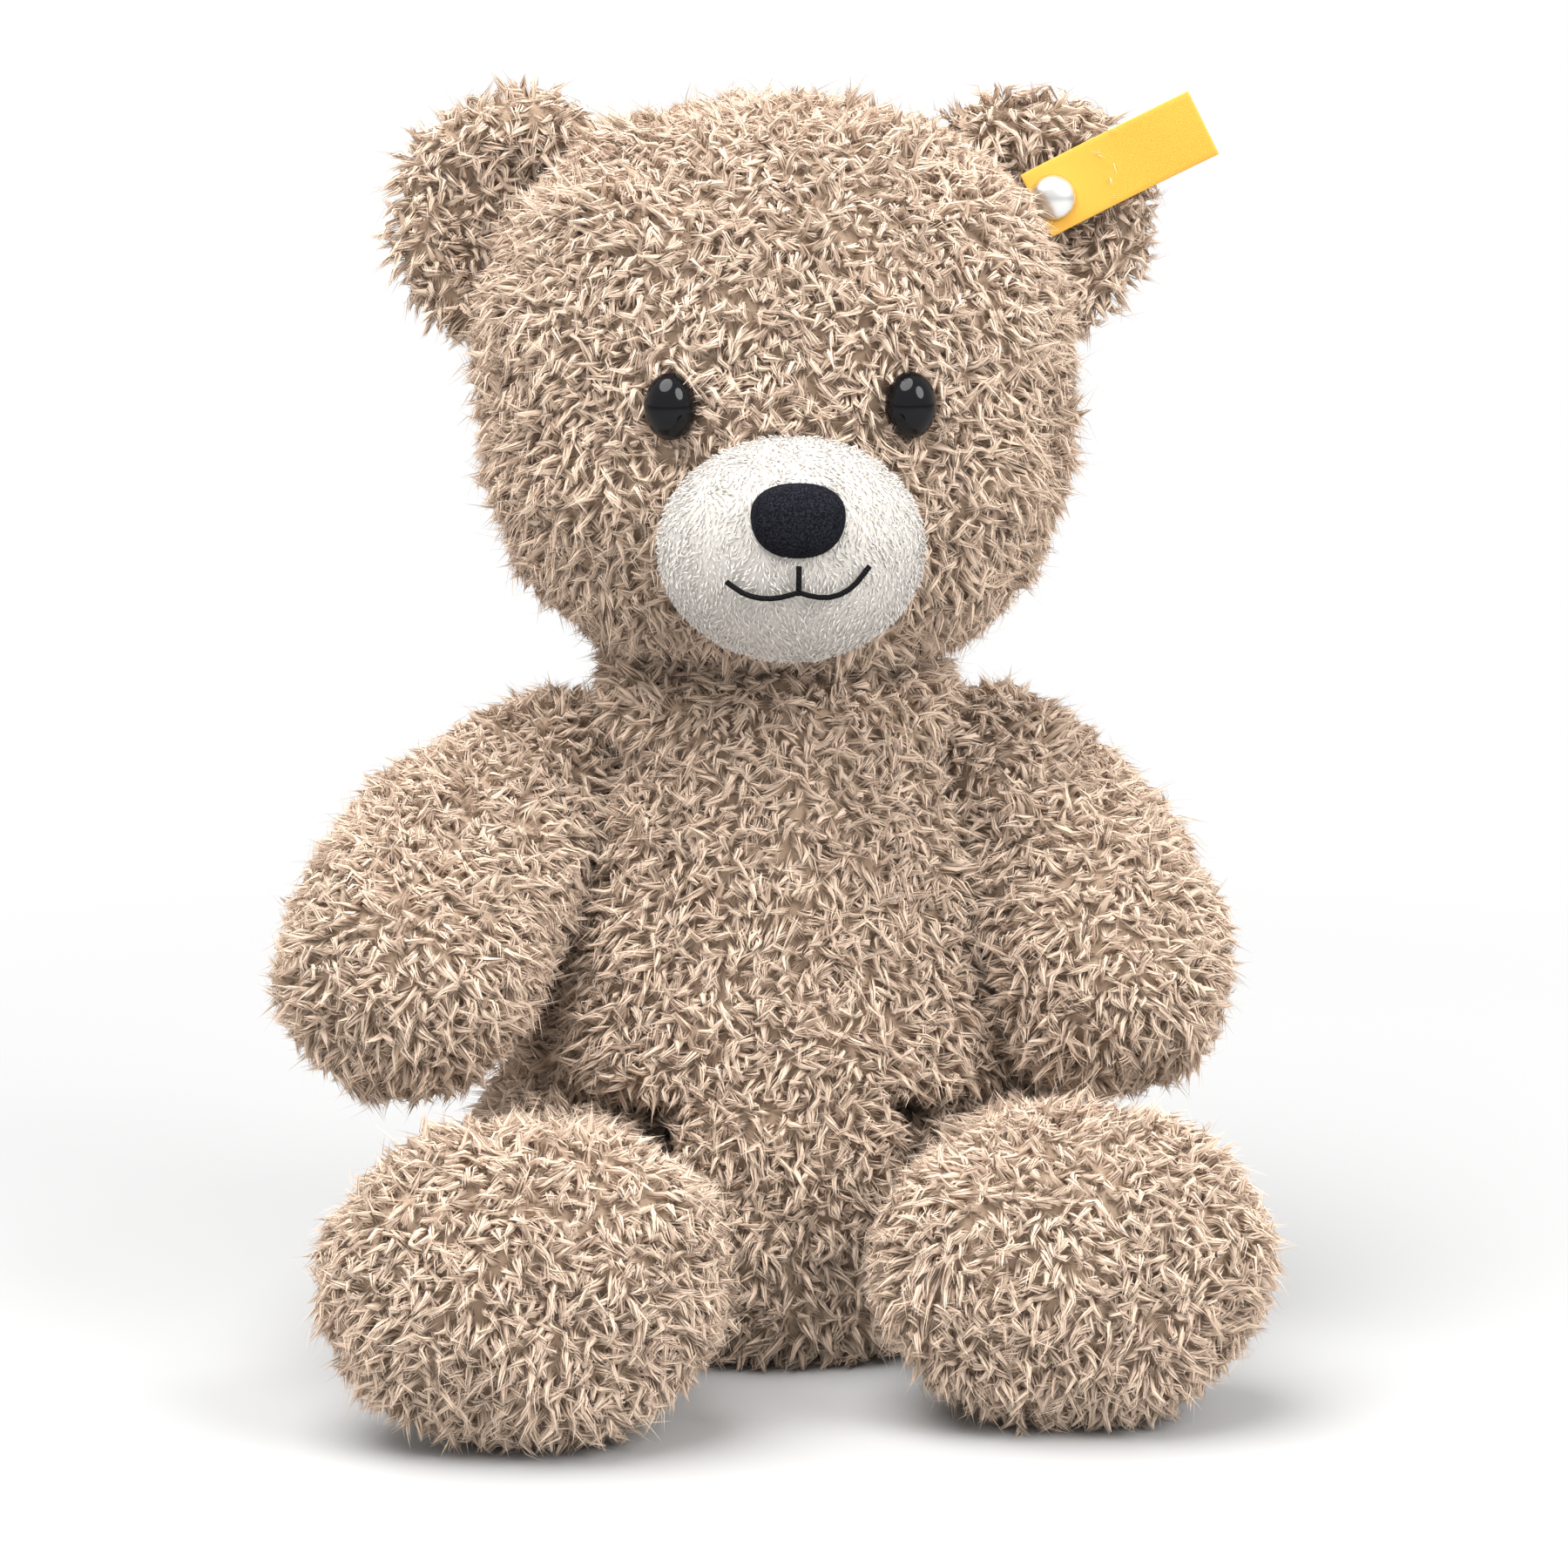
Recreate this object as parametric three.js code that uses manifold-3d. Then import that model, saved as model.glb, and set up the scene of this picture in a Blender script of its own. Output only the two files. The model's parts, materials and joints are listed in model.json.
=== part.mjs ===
// A plush night light: a sitting teddy bear with a battery light unit in its belly.
// Millimetres, +Z up. The origin is on the floor under the middle of the seat, and the bear
// looks along -Y, so its own left side is at +X.

import * as THREE from "three";
import { mergeVertices } from "three/addons/utils/BufferGeometryUtils.js";
import Module from "manifold-3d";

const wasm = await Module();
wasm.setup();

// Cloth and clearances
const coverThickness = 3;
const clearance = 0.3;
const overrun = 20;
const weldDistance = 0.0001;

// Facets round each kind of shape
const coverSides = 24;
const hollowSides = 16;
const limbSides = 16;
const limbHollowSides = 12;
const trimSides = 18;
const smallSides = 10;
const cornerFacets = 3;
const wireFacets = 2;
const domeSteps = 4;
const tagSteps = 8;
const springStepsPerTurn = 6;
const stepsPerPathPoint = 2;
const bandShare = 0.6;
const slabShare = 4;
const cornerShare = 0.87;
const capTurns = [65, 32].map(THREE.MathUtils.degToRad);

// Torso: a pear that narrows to the neck seam
const neckRise = 14;
const torsoWidth = 112;
const torsoDepth = 94;
const bellyForward = 8;
const torsoHeightShares = [0, 0.06, 0.18, 0.33, 0.47, 0.62, 0.76, 0.87, 0.95, 1];
const torsoWidthShares = [0.7, 0.86, 0.97, 1, 0.98, 0.9, 0.8, 0.72, 0.66, 0.58];
const torsoDepthShares = [0.8, 0.91, 0.98, 1, 0.98, 0.94, 0.9, 0.86, 0.79, 0.62];
const torsoForwardShares = [1, 1, 1, 0.9, 0.7, 0.45, 0.25, 0.1, 0, 0];

// Head: a rounded box of cloth that sits on the neck seam
const headWidth = 119;
const headDepth = 102;
const headHeight = 115;
const headSinkage = 3.5;
const headForward = 4;
const headSquareness = 2.6;

// Ears
const earWidth = 52;
const earReach = 28;
const earRoot = 24;
const earThickness = 17;
const earHollowDepth = 5;
const earHollowShare = 0.7;
const earInset = 9.5;
const earDrop = 24.5;
const earBack = 2;
const earTilt = THREE.MathUtils.degToRad(26);

// Face
const muzzleWidth = 52;
const muzzleHeight = 44;
const muzzleDepth = 44;
const muzzleForward = 56;
const muzzleDrop = 26;
const noseWidth = 17.5;
const noseHeight = 14;
const noseDepth = 9;
const noseRiseShare = 0.33;
const noseSquareness = 2.4;
const mouthThread = 1.1;
const mouthStemLength = 5;
const mouthHalfWidth = 13.5;
const mouthDip = 1.4;
const leftMouthRise = 4.6;
const rightMouthRise = 1.8;
const mouthDipShares = [0, -0.7, -1, -0.8, 0];
const mouthRiseShares = [0, 0, 0.1, 0.4, 1];
const eyeWidth = 10;
const eyeHeight = 13;
const eyeDepth = 5;
const eyeSpread = 23;
const eyeRise = 1;
const eyeShankDiameter = 3;
const eyeShankLength = 9;
const washerDiameter = 11;
const washerThickness = 1.2;

// Ear tag and its rivet
const tagWidth = 14;
const tagThickness = 0.7;
const tagLength = 33;
const tagTuck = 4;
const tagLift = THREE.MathUtils.degToRad(27);
const tagCurl = 5;
const rivetDiameter = 9;
const rivetHeight = 2.6;
const rivetShankDiameter = 2.4;
const rivetWasherDiameter = 6.3;
const rivetOut = 7.6;
const rivetAlong = 2.2;

// Arms: soft cones that swell to a round paw, each hung on a flat shoulder seam
const shoulderRoom = 7.5;
const shoulderDrop = 10;
const shoulderSlope = THREE.MathUtils.degToRad(15.5);
const armRadii = [21, 24, 26, 26.5];
const armTopOut = 13;
const armTopDrop = 4;
const armSwingGap = 1;
const rightArmReach = new THREE.Vector3(30, -45, -27);
const leftArmReach = new THREE.Vector3(20.5, -27, -33);
const armOutShares = [0, 0.38, 0.76, 1];
const armForwardShares = [0, 0.22, 0.62, 1];
const armDownShares = [0, 0.28, 0.63, 1];

// Legs: each lies forward from a flat hip seam and ends in a big round foot
const hipSpread = 16;
const hipHeight = 31;
const hipCentreSpread = 38;
const hipSplay = THREE.MathUtils.degToRad(6.7);
const hipGap = 1;
const hipSwingRoom = 4.6;
const legRadii = [26, 23, 22, 24];
const legForwardShares = [0, 0.3, 0.64, 1];
const legOutShares = [0, 0.25, 0.6, 1];
const legSag = 4;
const legSagShares = [0, 1, 1, 0.3];
const footWidth = 79;
const footHeight = 62.5;
const footDepth = 48;
const footSpread = 52.5;
const footFlat = 0.5;
const footSquareness = 2.2;
const ankleShare = 0.79;
const rightFootForward = 91;
const leftFootForward = 83;

// Light unit: a rounded box in a cloth pouch behind the belly
const unitWidth = 48;
const unitHeight = 57;
const unitLift = 9;
const unitFront = 22;
const frontCaseDepth = 14;
const rearCaseDepth = 16;
const unitCornerRadius = 6.5;
const caseWall = 2;
const pouchCloth = 0.8;
const sealThickness = 0.8;
const sealWidth = 1.2;
const buttonDiameter = 32;
const buttonRim = 3;
const buttonDome = 4;
const buttonWall = 1.8;
const buttonFlange = 2;
const buttonTravel = 1.5;
const buttonPostDiameter = 4;
const boardThickness = 1.6;
const boardMargin = 1;
const ledDiameter = 5;
const ledHeight = 6;
const ledRingDiameter = 20;
const ledCount = 3;
const switchSize = 7;
const switchHeight = 5;
const plungerSize = 3;
const plungerReach = 2.5;
const bayFloor = 1.6;
const cellDiameter = 10.5;
const cellLength = 44.5;
const cellPitch = 11;
const cellCount = 3;
const cellTipDiameter = 3.8;
const cellTipHeight = 0.8;
const contactThickness = 0.5;
const contactWidth = 8;
const springWire = 0.7;
const springDiameter = 6;
const springTurns = 3;
const doorThickness = 2.2;
const doorHeight = 45;
const screwDiameter = 2.2;
const screwHeadDiameter = 3.8;
const screwHeadHeight = 1.4;
const screwInset = 3.9;
const screwBite = 8;
const bossWall = 1.2;

// Back flap: a padded panel of the back that lifts on its top edge, over the battery door
const flapWidth = 46;
const flapHeight = 53;
const tapeWidth = 34;
const tapeDepth = 4;
const tapeThickness = 1;

// Joins and cuts

function solidOf(geometry) {
  const bare = geometry.clone();
  bare.deleteAttribute("normal");
  bare.deleteAttribute("uv");
  const merged = mergeVertices(bare, weldDistance);
  const triVerts = new Uint32Array(merged.index.array);
  const vertProperties = new Float32Array(merged.attributes.position.array);
  return new wasm.Manifold(new wasm.Mesh({ numProp: 3, vertProperties, triVerts }));
}

function geometryOf(solid) {
  const mesh = solid.getMesh();
  const points = new Float32Array(mesh.numVert * 3);
  for (let i = 0; i < mesh.numVert; i++) {
    points.set(mesh.vertProperties.subarray(i * mesh.numProp, i * mesh.numProp + 3), i * 3);
  }
  const geometry = new THREE.BufferGeometry();
  geometry.setAttribute("position", new THREE.BufferAttribute(points, 3));
  geometry.setIndex(new THREE.BufferAttribute(new Uint32Array(mesh.triVerts), 1));
  const flat = geometry.toNonIndexed();
  flat.computeVertexNormals();
  return flat;
}

// Moves a three.js geometry by a matrix and gives it as a solid.
function placed(geometry, position, rotation = new THREE.Euler()) {
  const turn = new THREE.Quaternion().setFromEuler(rotation);
  const matrix = new THREE.Matrix4().compose(position, turn, new THREE.Vector3(1, 1, 1));
  return solidOf(geometry.clone().applyMatrix4(matrix));
}

// A closed skin over rings that all have the same number of points.
function skin(rings) {
  const sides = rings[0].length;
  const points = rings.flat();
  const first = centreOf(rings[0]);
  const last = centreOf(rings[rings.length - 1]);
  const faces = [];
  for (let r = 0; r + 1 < rings.length; r++) {
    for (let s = 0; s < sides; s++) {
      const a = r * sides + s;
      const b = r * sides + ((s + 1) % sides);
      faces.push(a, b, b + sides, a, b + sides, a + sides);
    }
  }
  const top = (rings.length - 1) * sides;
  for (let s = 0; s < sides; s++) {
    const next = (s + 1) % sides;
    faces.push(next, s, points.length);
    faces.push(top + s, top + next, points.length + 1);
  }
  const geometry = new THREE.BufferGeometry().setFromPoints([...points, first, last]);
  geometry.setIndex(faces);
  const solid = solidOf(geometry);
  if (solid.volume() > 0) return solid;
  for (let i = 0; i < faces.length; i += 3) faces.splice(i, 3, faces[i], faces[i + 2], faces[i + 1]);
  geometry.setIndex(faces);
  return solidOf(geometry);
}

function centreOf(ring) {
  const sum = ring.reduce((total, point) => total.add(point), new THREE.Vector3());
  return sum.divideScalar(ring.length);
}

// An ellipsoid, or with a squareness over 2 a box with fully rounded sides.
function ellipsoid(centre, halfSizes, squareness, count) {
  const geometry = new THREE.SphereGeometry(1, count, Math.round(count * bandShare));
  geometry.rotateX(Math.PI / 2);
  const place = geometry.attributes.position;
  const point = new THREE.Vector3();
  for (let i = 0; i < place.count; i++) {
    point.fromBufferAttribute(place, i).normalize();
    const sum =
      Math.abs(point.x) ** squareness +
      Math.abs(point.y) ** squareness +
      Math.abs(point.z) ** squareness;
    point.multiplyScalar(sum ** (-1 / squareness)).multiply(halfSizes).add(centre);
    place.setXYZ(i, point.x, point.y, point.z);
  }
  return solidOf(geometry);
}

// The half space on the far side of a plane, as a large slab.
function beyond(point, normal, size) {
  const slab = new THREE.BoxGeometry(size, size, size);
  slab.translate(0, 0, size / 2);
  const turn = new THREE.Quaternion().setFromUnitVectors(new THREE.Vector3(0, 0, 1), normal);
  slab.applyQuaternion(turn);
  slab.translate(point.x, point.y, point.z);
  return solidOf(slab);
}

// Rings round a curve whose radius runs through the given radii, with round ends.
function softTube(points, radii, sides, shrink) {
  const curve = new THREE.CatmullRomCurve3(points, false, "centripetal");
  const steps = stepsPerPathPoint * (points.length - 1);
  const frames = curve.computeFrenetFrames(steps, false);
  const ringAt = (centre, step, radius) =>
    Array.from({ length: sides }, (_, s) => {
      const turn = (2 * Math.PI * s) / sides;
      return centre
        .clone()
        .addScaledVector(frames.normals[step], radius * Math.cos(turn))
        .addScaledVector(frames.binormals[step], radius * Math.sin(turn));
    });
  const radiusAt = (share) => {
    const place = share * (radii.length - 1);
    const low = Math.min(Math.floor(place), radii.length - 2);
    return THREE.MathUtils.lerp(radii[low], radii[low + 1], place - low) - shrink;
  };
  const rings = [];
  for (const turn of capTurns) {
    const radius = radiusAt(0);
    const centre = curve.getPoint(0).addScaledVector(frames.tangents[0], -radius * Math.sin(turn));
    rings.push(ringAt(centre, 0, radius * Math.cos(turn)));
  }
  for (let step = 0; step <= steps; step++) {
    rings.push(ringAt(curve.getPoint(step / steps), step, radiusAt(step / steps)));
  }
  for (const turn of [...capTurns].reverse()) {
    const radius = radiusAt(1);
    const centre = curve.getPoint(1).addScaledVector(frames.tangents[steps], radius * Math.sin(turn));
    rings.push(ringAt(centre, steps, radius * Math.cos(turn)));
  }
  return skin(rings);
}

// Shapes along the Y axis, which the light unit, the eyes and the rivet share.

function rod(radius, front, back, centreX, centreZ, count) {
  const geometry = new THREE.CylinderGeometry(radius, radius, back - front, count);
  geometry.translate(centreX, (front + back) / 2, centreZ);
  return solidOf(geometry);
}

function block(width, height, front, back, centreX, centreZ) {
  const geometry = new THREE.BoxGeometry(width, back - front, height);
  geometry.translate(centreX, (front + back) / 2, centreZ);
  return solidOf(geometry);
}

function panel(width, height, radius, front, back, centreZ) {
  const right = width / 2;
  const top = height / 2;
  const shape = new THREE.Shape();
  shape.moveTo(radius - right, -top);
  shape.lineTo(right - radius, -top);
  shape.absarc(right - radius, radius - top, radius, -Math.PI / 2, 0);
  shape.lineTo(right, top - radius);
  shape.absarc(right - radius, top - radius, radius, 0, Math.PI / 2);
  shape.lineTo(radius - right, top);
  shape.absarc(radius - right, top - radius, radius, Math.PI / 2, Math.PI);
  shape.lineTo(-right, radius - top);
  shape.absarc(radius - right, radius - top, radius, Math.PI, 1.5 * Math.PI);
  const geometry = new THREE.ExtrudeGeometry(shape, {
    depth: back - front,
    bevelEnabled: false,
    curveSegments: cornerFacets,
  });
  geometry.rotateX(Math.PI / 2);
  geometry.translate(0, back, centreZ);
  return solidOf(geometry);
}

function turned(profile, centreX, centreZ, count) {
  const points = profile.map(([radius, y]) => new THREE.Vector2(radius, y));
  const geometry = new THREE.LatheGeometry(points, count);
  geometry.translate(centreX, 0, centreZ);
  const solid = solidOf(geometry);
  if (solid.volume() > 0) return solid;
  const reversed = new THREE.LatheGeometry(points.reverse(), count);
  reversed.translate(centreX, 0, centreZ);
  return solidOf(reversed);
}

// Torso

const sides = [
  { name: "left", sign: 1, reach: leftArmReach, footForward: leftFootForward },
  { name: "right", sign: -1, reach: rightArmReach, footForward: rightFootForward },
];
// Heights, from the hips up: the light unit stands over them, between the shoulders and the flap.
const unitBottom = hipHeight + legRadii[0] + hipGap + unitLift;
const unitCentreHeight = unitBottom + unitHeight / 2;
const unitTop = unitBottom + unitHeight;
const shoulderHeight = unitTop - shoulderDrop;
const shoulderSpread = unitWidth / 2 + shoulderRoom;
const neckHeight = unitTop + neckRise;
const flapTopHeight = unitCentreHeight + flapHeight / 2;
const flapBottomHeight = unitCentreHeight - flapHeight / 2;
const torsoTop = neckHeight - clearance;
const hollowSag = (headWidth / 2) * (1 - Math.cos(Math.PI / hollowSides));
const wide = slabShare * neckHeight;

// The torso's form drawn in by a margin. A hollow runs on past the neck, so the neck is open.
function torsoForm(shrink, count, pastNeck) {
  const ringAt = (i, height) => {
    const halfWidth = (torsoWidth / 2) * torsoWidthShares[i] - shrink;
    const halfDepth = (torsoDepth / 2) * torsoDepthShares[i] - shrink;
    const middle = -bellyForward * torsoForwardShares[i];
    return Array.from({ length: count }, (_, s) => {
      const turn = (2 * Math.PI * s) / count;
      const back = middle + halfDepth * Math.sin(turn);
      return new THREE.Vector3(halfWidth * Math.cos(turn), back, height);
    });
  };
  const rings = torsoHeightShares.map((share, i) => ringAt(i, torsoTop * share));
  if (pastNeck > 0) rings.push(ringAt(rings.length - 1, torsoTop + pastNeck));
  return skin(rings);
}

// How far back the torso's form reaches at a height: on the middle line, drawn in by a margin, or
// beside it, where the depth is less.
function backAt(height, margin = 0, depthLeft = 1) {
  const share = height / torsoTop;
  const next = torsoHeightShares.findIndex((s) => s >= share);
  const low = torsoHeightShares[next - 1];
  const between = (share - low) / (torsoHeightShares[next] - low);
  const mixed = (table) => THREE.MathUtils.lerp(table[next - 1], table[next], between);
  const halfDepth = (torsoDepth / 2) * mixed(torsoDepthShares) - margin;
  return halfDepth * depthLeft - bellyForward * mixed(torsoForwardShares);
}

const shoulderNormal = (sign) =>
  new THREE.Vector3(sign * Math.cos(shoulderSlope), 0, Math.sin(shoulderSlope));
const shoulderPoint = (sign) => new THREE.Vector3(sign * shoulderSpread, 0, shoulderHeight);
const hipNormal = (sign) => new THREE.Vector3(sign * Math.cos(hipSplay), Math.sin(hipSplay), 0);
const hipPoint = (sign) => new THREE.Vector3(sign * hipSpread, 0, hipHeight);

// The way square to an arm's length that leads down and back, in the plane that the arm swings in.
const underArm = (reach) => new THREE.Vector3(0, -reach.z, reach.y).normalize();
const armTop = (sign) =>
  new THREE.Vector3(sign * (shoulderSpread + armTopOut), 0, shoulderHeight - armTopDrop);

// The space that an arm swings in: beside the shoulder seam and not under the arm.
function shoulderRecess({ sign, reach }, margin) {
  const seat = shoulderPoint(sign).addScaledVector(shoulderNormal(sign), -margin);
  const room = Math.max(...armRadii) + armSwingGap + margin;
  const under = armTop(sign).addScaledVector(underArm(reach), room);
  return beyond(seat, shoulderNormal(sign), wide).subtract(beyond(under, underArm(reach), wide));
}

const above = (height) =>
  beyond(new THREE.Vector3(0, 0, height), new THREE.Vector3(0, 0, 1), wide);
const behind = (back) => beyond(new THREE.Vector3(0, back, 0), new THREE.Vector3(0, 1, 0), wide);

// The space that a leg needs beside the torso: a close hollow over the thigh, and a wider one
// behind and under it, where the thigh's underside comes round as the leg swings down.
function hipRecess(sign, margin) {
  const close = legRadii[0] + hipGap + margin;
  const far = legRadii[0] + hipSwingRoom + margin;
  const turn = new THREE.Quaternion().setFromUnitVectors(new THREE.Vector3(1, 0, 0), hipNormal(sign));
  const seated = (geometry) => {
    geometry.translate(wide / 2 - margin, 0, 0);
    geometry.applyQuaternion(turn);
    geometry.translate(hipPoint(sign).x, hipPoint(sign).y, hipPoint(sign).z);
    return solidOf(geometry);
  };
  const drum = (radius) => {
    const geometry = new THREE.CylinderGeometry(radius, radius, wide, coverSides);
    return seated(geometry.rotateZ(Math.PI / 2));
  };
  const box = (back, top) => {
    const geometry = new THREE.BoxGeometry(wide, wide, wide);
    return seated(geometry.translate(0, sign * (back - wide / 2), top - wide / 2));
  };
  const swingRoom = drum(far).subtract(above(hipHeight));
  const under = box(far * cornerShare, -far / 2);
  return drum(close).add(swingRoom).add(box(0, close)).add(box(far / 2, 0)).add(under);
}

// Cuts the torso's form flat at the shoulders and hollow at the hips, a margin further in.
function withSeams(form, margin) {
  let solid = form;
  for (const side of sides) {
    solid = solid.subtract(shoulderRecess(side, margin)).subtract(hipRecess(side.sign, margin));
  }
  return solid;
}

// Light unit: places along Y, from the belly to the back

const unitBack = frontCaseDepth + rearCaseDepth - unitFront;
const splitBack = frontCaseDepth - unitFront;
const frontCaseBack = splitBack - sealThickness / 2 - clearance;
const rearCaseFront = splitBack + sealThickness / 2 + clearance;
const innerWidth = unitWidth - 2 * caseWall;
const innerHeight = unitHeight - 2 * caseWall;
const innerRadius = unitCornerRadius - caseWall;
const flangeFront = caseWall + clearance - unitFront;
const flangeBack = flangeFront + buttonFlange;
const boardBack = rearCaseFront - clearance;
const boardFront = boardBack - boardThickness;
const switchFront = boardFront - clearance - switchHeight;
const pouchMargin = pouchCloth + 2 * clearance;
const pocketFloor = unitBack + 2 * clearance;
const flapHingeBack = backAt(flapTopHeight);

function unitPanel(margin, front, back) {
  const width = unitWidth + 2 * margin;
  const height = unitHeight + 2 * margin;
  return panel(width, height, unitCornerRadius + margin, front, back, unitCentreHeight);
}

function unitRod(diameter, front, back, centreX = 0, rise = 0, count = trimSides) {
  return rod(diameter / 2, front, back, centreX, unitCentreHeight + rise, count);
}

const buttonEdge = flangeFront - caseWall - clearance - buttonRim;

// Torso, with the window in its back that the flap closes

function flapWindow(margin, front) {
  const width = flapWidth - 2 * margin;
  const height = flapHeight - 2 * margin;
  return block(width, height, front, torsoDepth, 0, unitCentreHeight);
}

function torsoInside(margin) {
  return withSeams(torsoForm(margin, hollowSides, overrun), margin).intersect(above(margin));
}

const torsoShell = withSeams(torsoForm(0, coverSides, 0), 0).subtract(torsoInside(coverThickness));
const torsoSpace = torsoInside(coverThickness + clearance).subtract(above(torsoTop - clearance));

function torsoFilling() {
  const roomFront = -unitFront - pouchMargin;
  const room = unitPanel(pouchMargin, roomFront, pocketFloor);
  const domeFront = buttonEdge - buttonDome - clearance;
  const buttonRoom = unitRod(buttonDiameter + 2 * pouchMargin, domeFront, 0);
  return torsoSpace.subtract(room).subtract(buttonRoom).subtract(flapWindow(-clearance, 0));
}

// The flap's panel is cut from the same cloth as the back. Its pad swings on an arc about the
// hinge, so it is rounded to clear the lower edge of the window.

const flapSwing = placed(
  new THREE.CylinderGeometry(1, 1, 1, 2 * coverSides).scale(
    flapHeight - 2 * tapeThickness - 3 * clearance,
    torsoWidth,
    flapHeight - 2 * tapeThickness - 3 * clearance,
  ),
  new THREE.Vector3(0, flapHingeBack, flapTopHeight),
  new THREE.Euler(0, 0, Math.PI / 2),
);
const behindHinge = behind(flapHingeBack);
const tapeStack = 2 * tapeThickness + 3 * clearance;

function flapPad() {
  const pocket = torsoSpace.intersect(flapWindow(clearance, pocketFloor));
  return pocket.intersect(flapSwing.add(behindHinge)).intersect(above(flapBottomHeight + tapeStack));
}

function flapTape(bottom) {
  const narrowing = Math.sqrt(1 - (tapeWidth / (torsoWidth - 2 * coverThickness)) ** 2);
  const back = backAt(flapBottomHeight, coverThickness, narrowing) - clearance - hollowSag;
  return block(tapeWidth, tapeThickness, back - tapeDepth, back, 0, bottom + tapeThickness / 2);
}

// Head

const headCentre = new THREE.Vector3(0, -headForward, neckHeight - headSinkage + headHeight / 2);
const headHalf = new THREE.Vector3(headWidth / 2, headDepth / 2, headHeight / 2);

function headForm(margin, count) {
  const half = headHalf.clone().addScalar(margin);
  return ellipsoid(headCentre, half, headSquareness, count);
}

// Where the head's surface lies in front of a point given across and up from its centre.
function headFront(across, up) {
  const used =
    Math.abs(across / headHalf.x) ** headSquareness + Math.abs(up / headHalf.z) ** headSquareness;
  return headCentre.y - headHalf.y * (1 - used) ** (1 / headSquareness);
}

const headSurround = headForm(clearance, coverSides);

// Ears: each a cushion of two layers, turned and sewn into the head seam

function earFrame(sign) {
  const out = new THREE.Vector3(sign * Math.cos(earTilt), 0, Math.sin(earTilt));
  const along = new THREE.Vector3(-sign * Math.sin(earTilt), 0, Math.cos(earTilt));
  const rise = headCentre.z + headHeight / 2 - earDrop;
  const root = new THREE.Vector3(sign * (headWidth / 2 - earInset), earBack, rise);
  return { out, along, root };
}

const earHalf = new THREE.Vector3((earReach + earRoot) / 2, earThickness / 2, earWidth / 2);
const earRim = earBack - earHalf.y * Math.sqrt(1 - earHollowShare ** 2);

function earForm(sign) {
  const { out, root } = earFrame(sign);
  const centre = root.clone().addScaledVector(out, (earReach - earRoot) / 2);
  const turn = new THREE.Euler(0, sign * -earTilt, 0);
  const origin = new THREE.Vector3();
  const cushion = ellipsoid(origin, earHalf, 2, trimSides);
  const hollowHalf = earHalf.clone().multiplyScalar(earHollowShare).setY(earHollowDepth);
  const rim = new THREE.Vector3(0, earRim - earBack, 0);
  const hollow = ellipsoid(rim, hollowHalf, 2, smallSides);
  const degrees = [turn.x, turn.y, turn.z].map(THREE.MathUtils.radToDeg);
  return cushion.subtract(hollow).rotate(degrees).translate(centre.toArray());
}

// Tag and rivet on the left ear

const tagFrame = earFrame(1);
const rivetPlace = tagFrame.root
  .clone()
  .addScaledVector(tagFrame.out, rivetOut)
  .addScaledVector(tagFrame.along, rivetAlong);
const tagBack = earRim - clearance;
const earBehind = earBack + earHalf.y + clearance;

function rivetRod(diameter, front, back) {
  return rod(diameter / 2, front, back, rivetPlace.x, rivetPlace.z, smallSides);
}

function tagSolid() {
  const profile = new THREE.Shape();
  const bendAt = (share) => -tagCurl * Math.max(0, share) ** 2;
  const front = [];
  const back = [];
  for (let i = 0; i <= tagSteps; i++) {
    const place = -tagTuck + (i / tagSteps) * (tagLength + tagTuck);
    const bend = bendAt(place / tagLength);
    front.push(new THREE.Vector2(place, bend - tagThickness));
    back.push(new THREE.Vector2(place, bend));
  }
  profile.setFromPoints([...back, ...front.reverse()]);
  const strip = new THREE.ExtrudeGeometry(profile, { depth: tagWidth, bevelEnabled: false });
  strip.translate(0, 0, -tagWidth / 2);
  strip.rotateY(-tagLift);
  strip.translate(rivetPlace.x, tagBack, rivetPlace.z);
  return solidOf(strip);
}

function rivetSolid() {
  const seat = tagBack - tagThickness - clearance;
  const radius = rivetDiameter / 2;
  const shankRadius = rivetShankDiameter / 2;
  const end = earBehind + washerThickness + 2 * clearance;
  const profile = [[0, seat - rivetHeight]];
  for (let i = 1; i <= domeSteps; i++) {
    const turn = (Math.PI / 2) * (i / domeSteps);
    profile.push([radius * Math.sin(turn), seat - rivetHeight * Math.cos(turn)]);
  }
  profile.push([shankRadius, seat], [shankRadius, end], [0, end]);
  return turned(profile, rivetPlace.x, rivetPlace.z, trimSides);
}

// Face

const muzzleCentre = new THREE.Vector3(0, -muzzleForward, headCentre.z - muzzleDrop);
const muzzleHalf = new THREE.Vector3(muzzleWidth / 2, muzzleDepth / 2, muzzleHeight / 2);

function muzzleFront(across, up, margin) {
  const half = muzzleHalf.clone().addScalar(margin);
  const used = (across / half.x) ** 2 + (up / half.z) ** 2;
  return muzzleCentre.y - half.y * Math.sqrt(1 - used);
}

const noseRise = (muzzleHeight / 2) * noseRiseShare;

function noseSolid() {
  const centre = new THREE.Vector3(0, muzzleFront(0, noseRise, 0), muzzleCentre.z + noseRise);
  const half = new THREE.Vector3(noseWidth / 2, noseDepth / 2, noseHeight / 2);
  const under = ellipsoid(muzzleCentre, muzzleHalf.clone().addScalar(clearance), 2, coverSides);
  return ellipsoid(centre, half, noseSquareness, smallSides).subtract(under);
}

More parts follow.
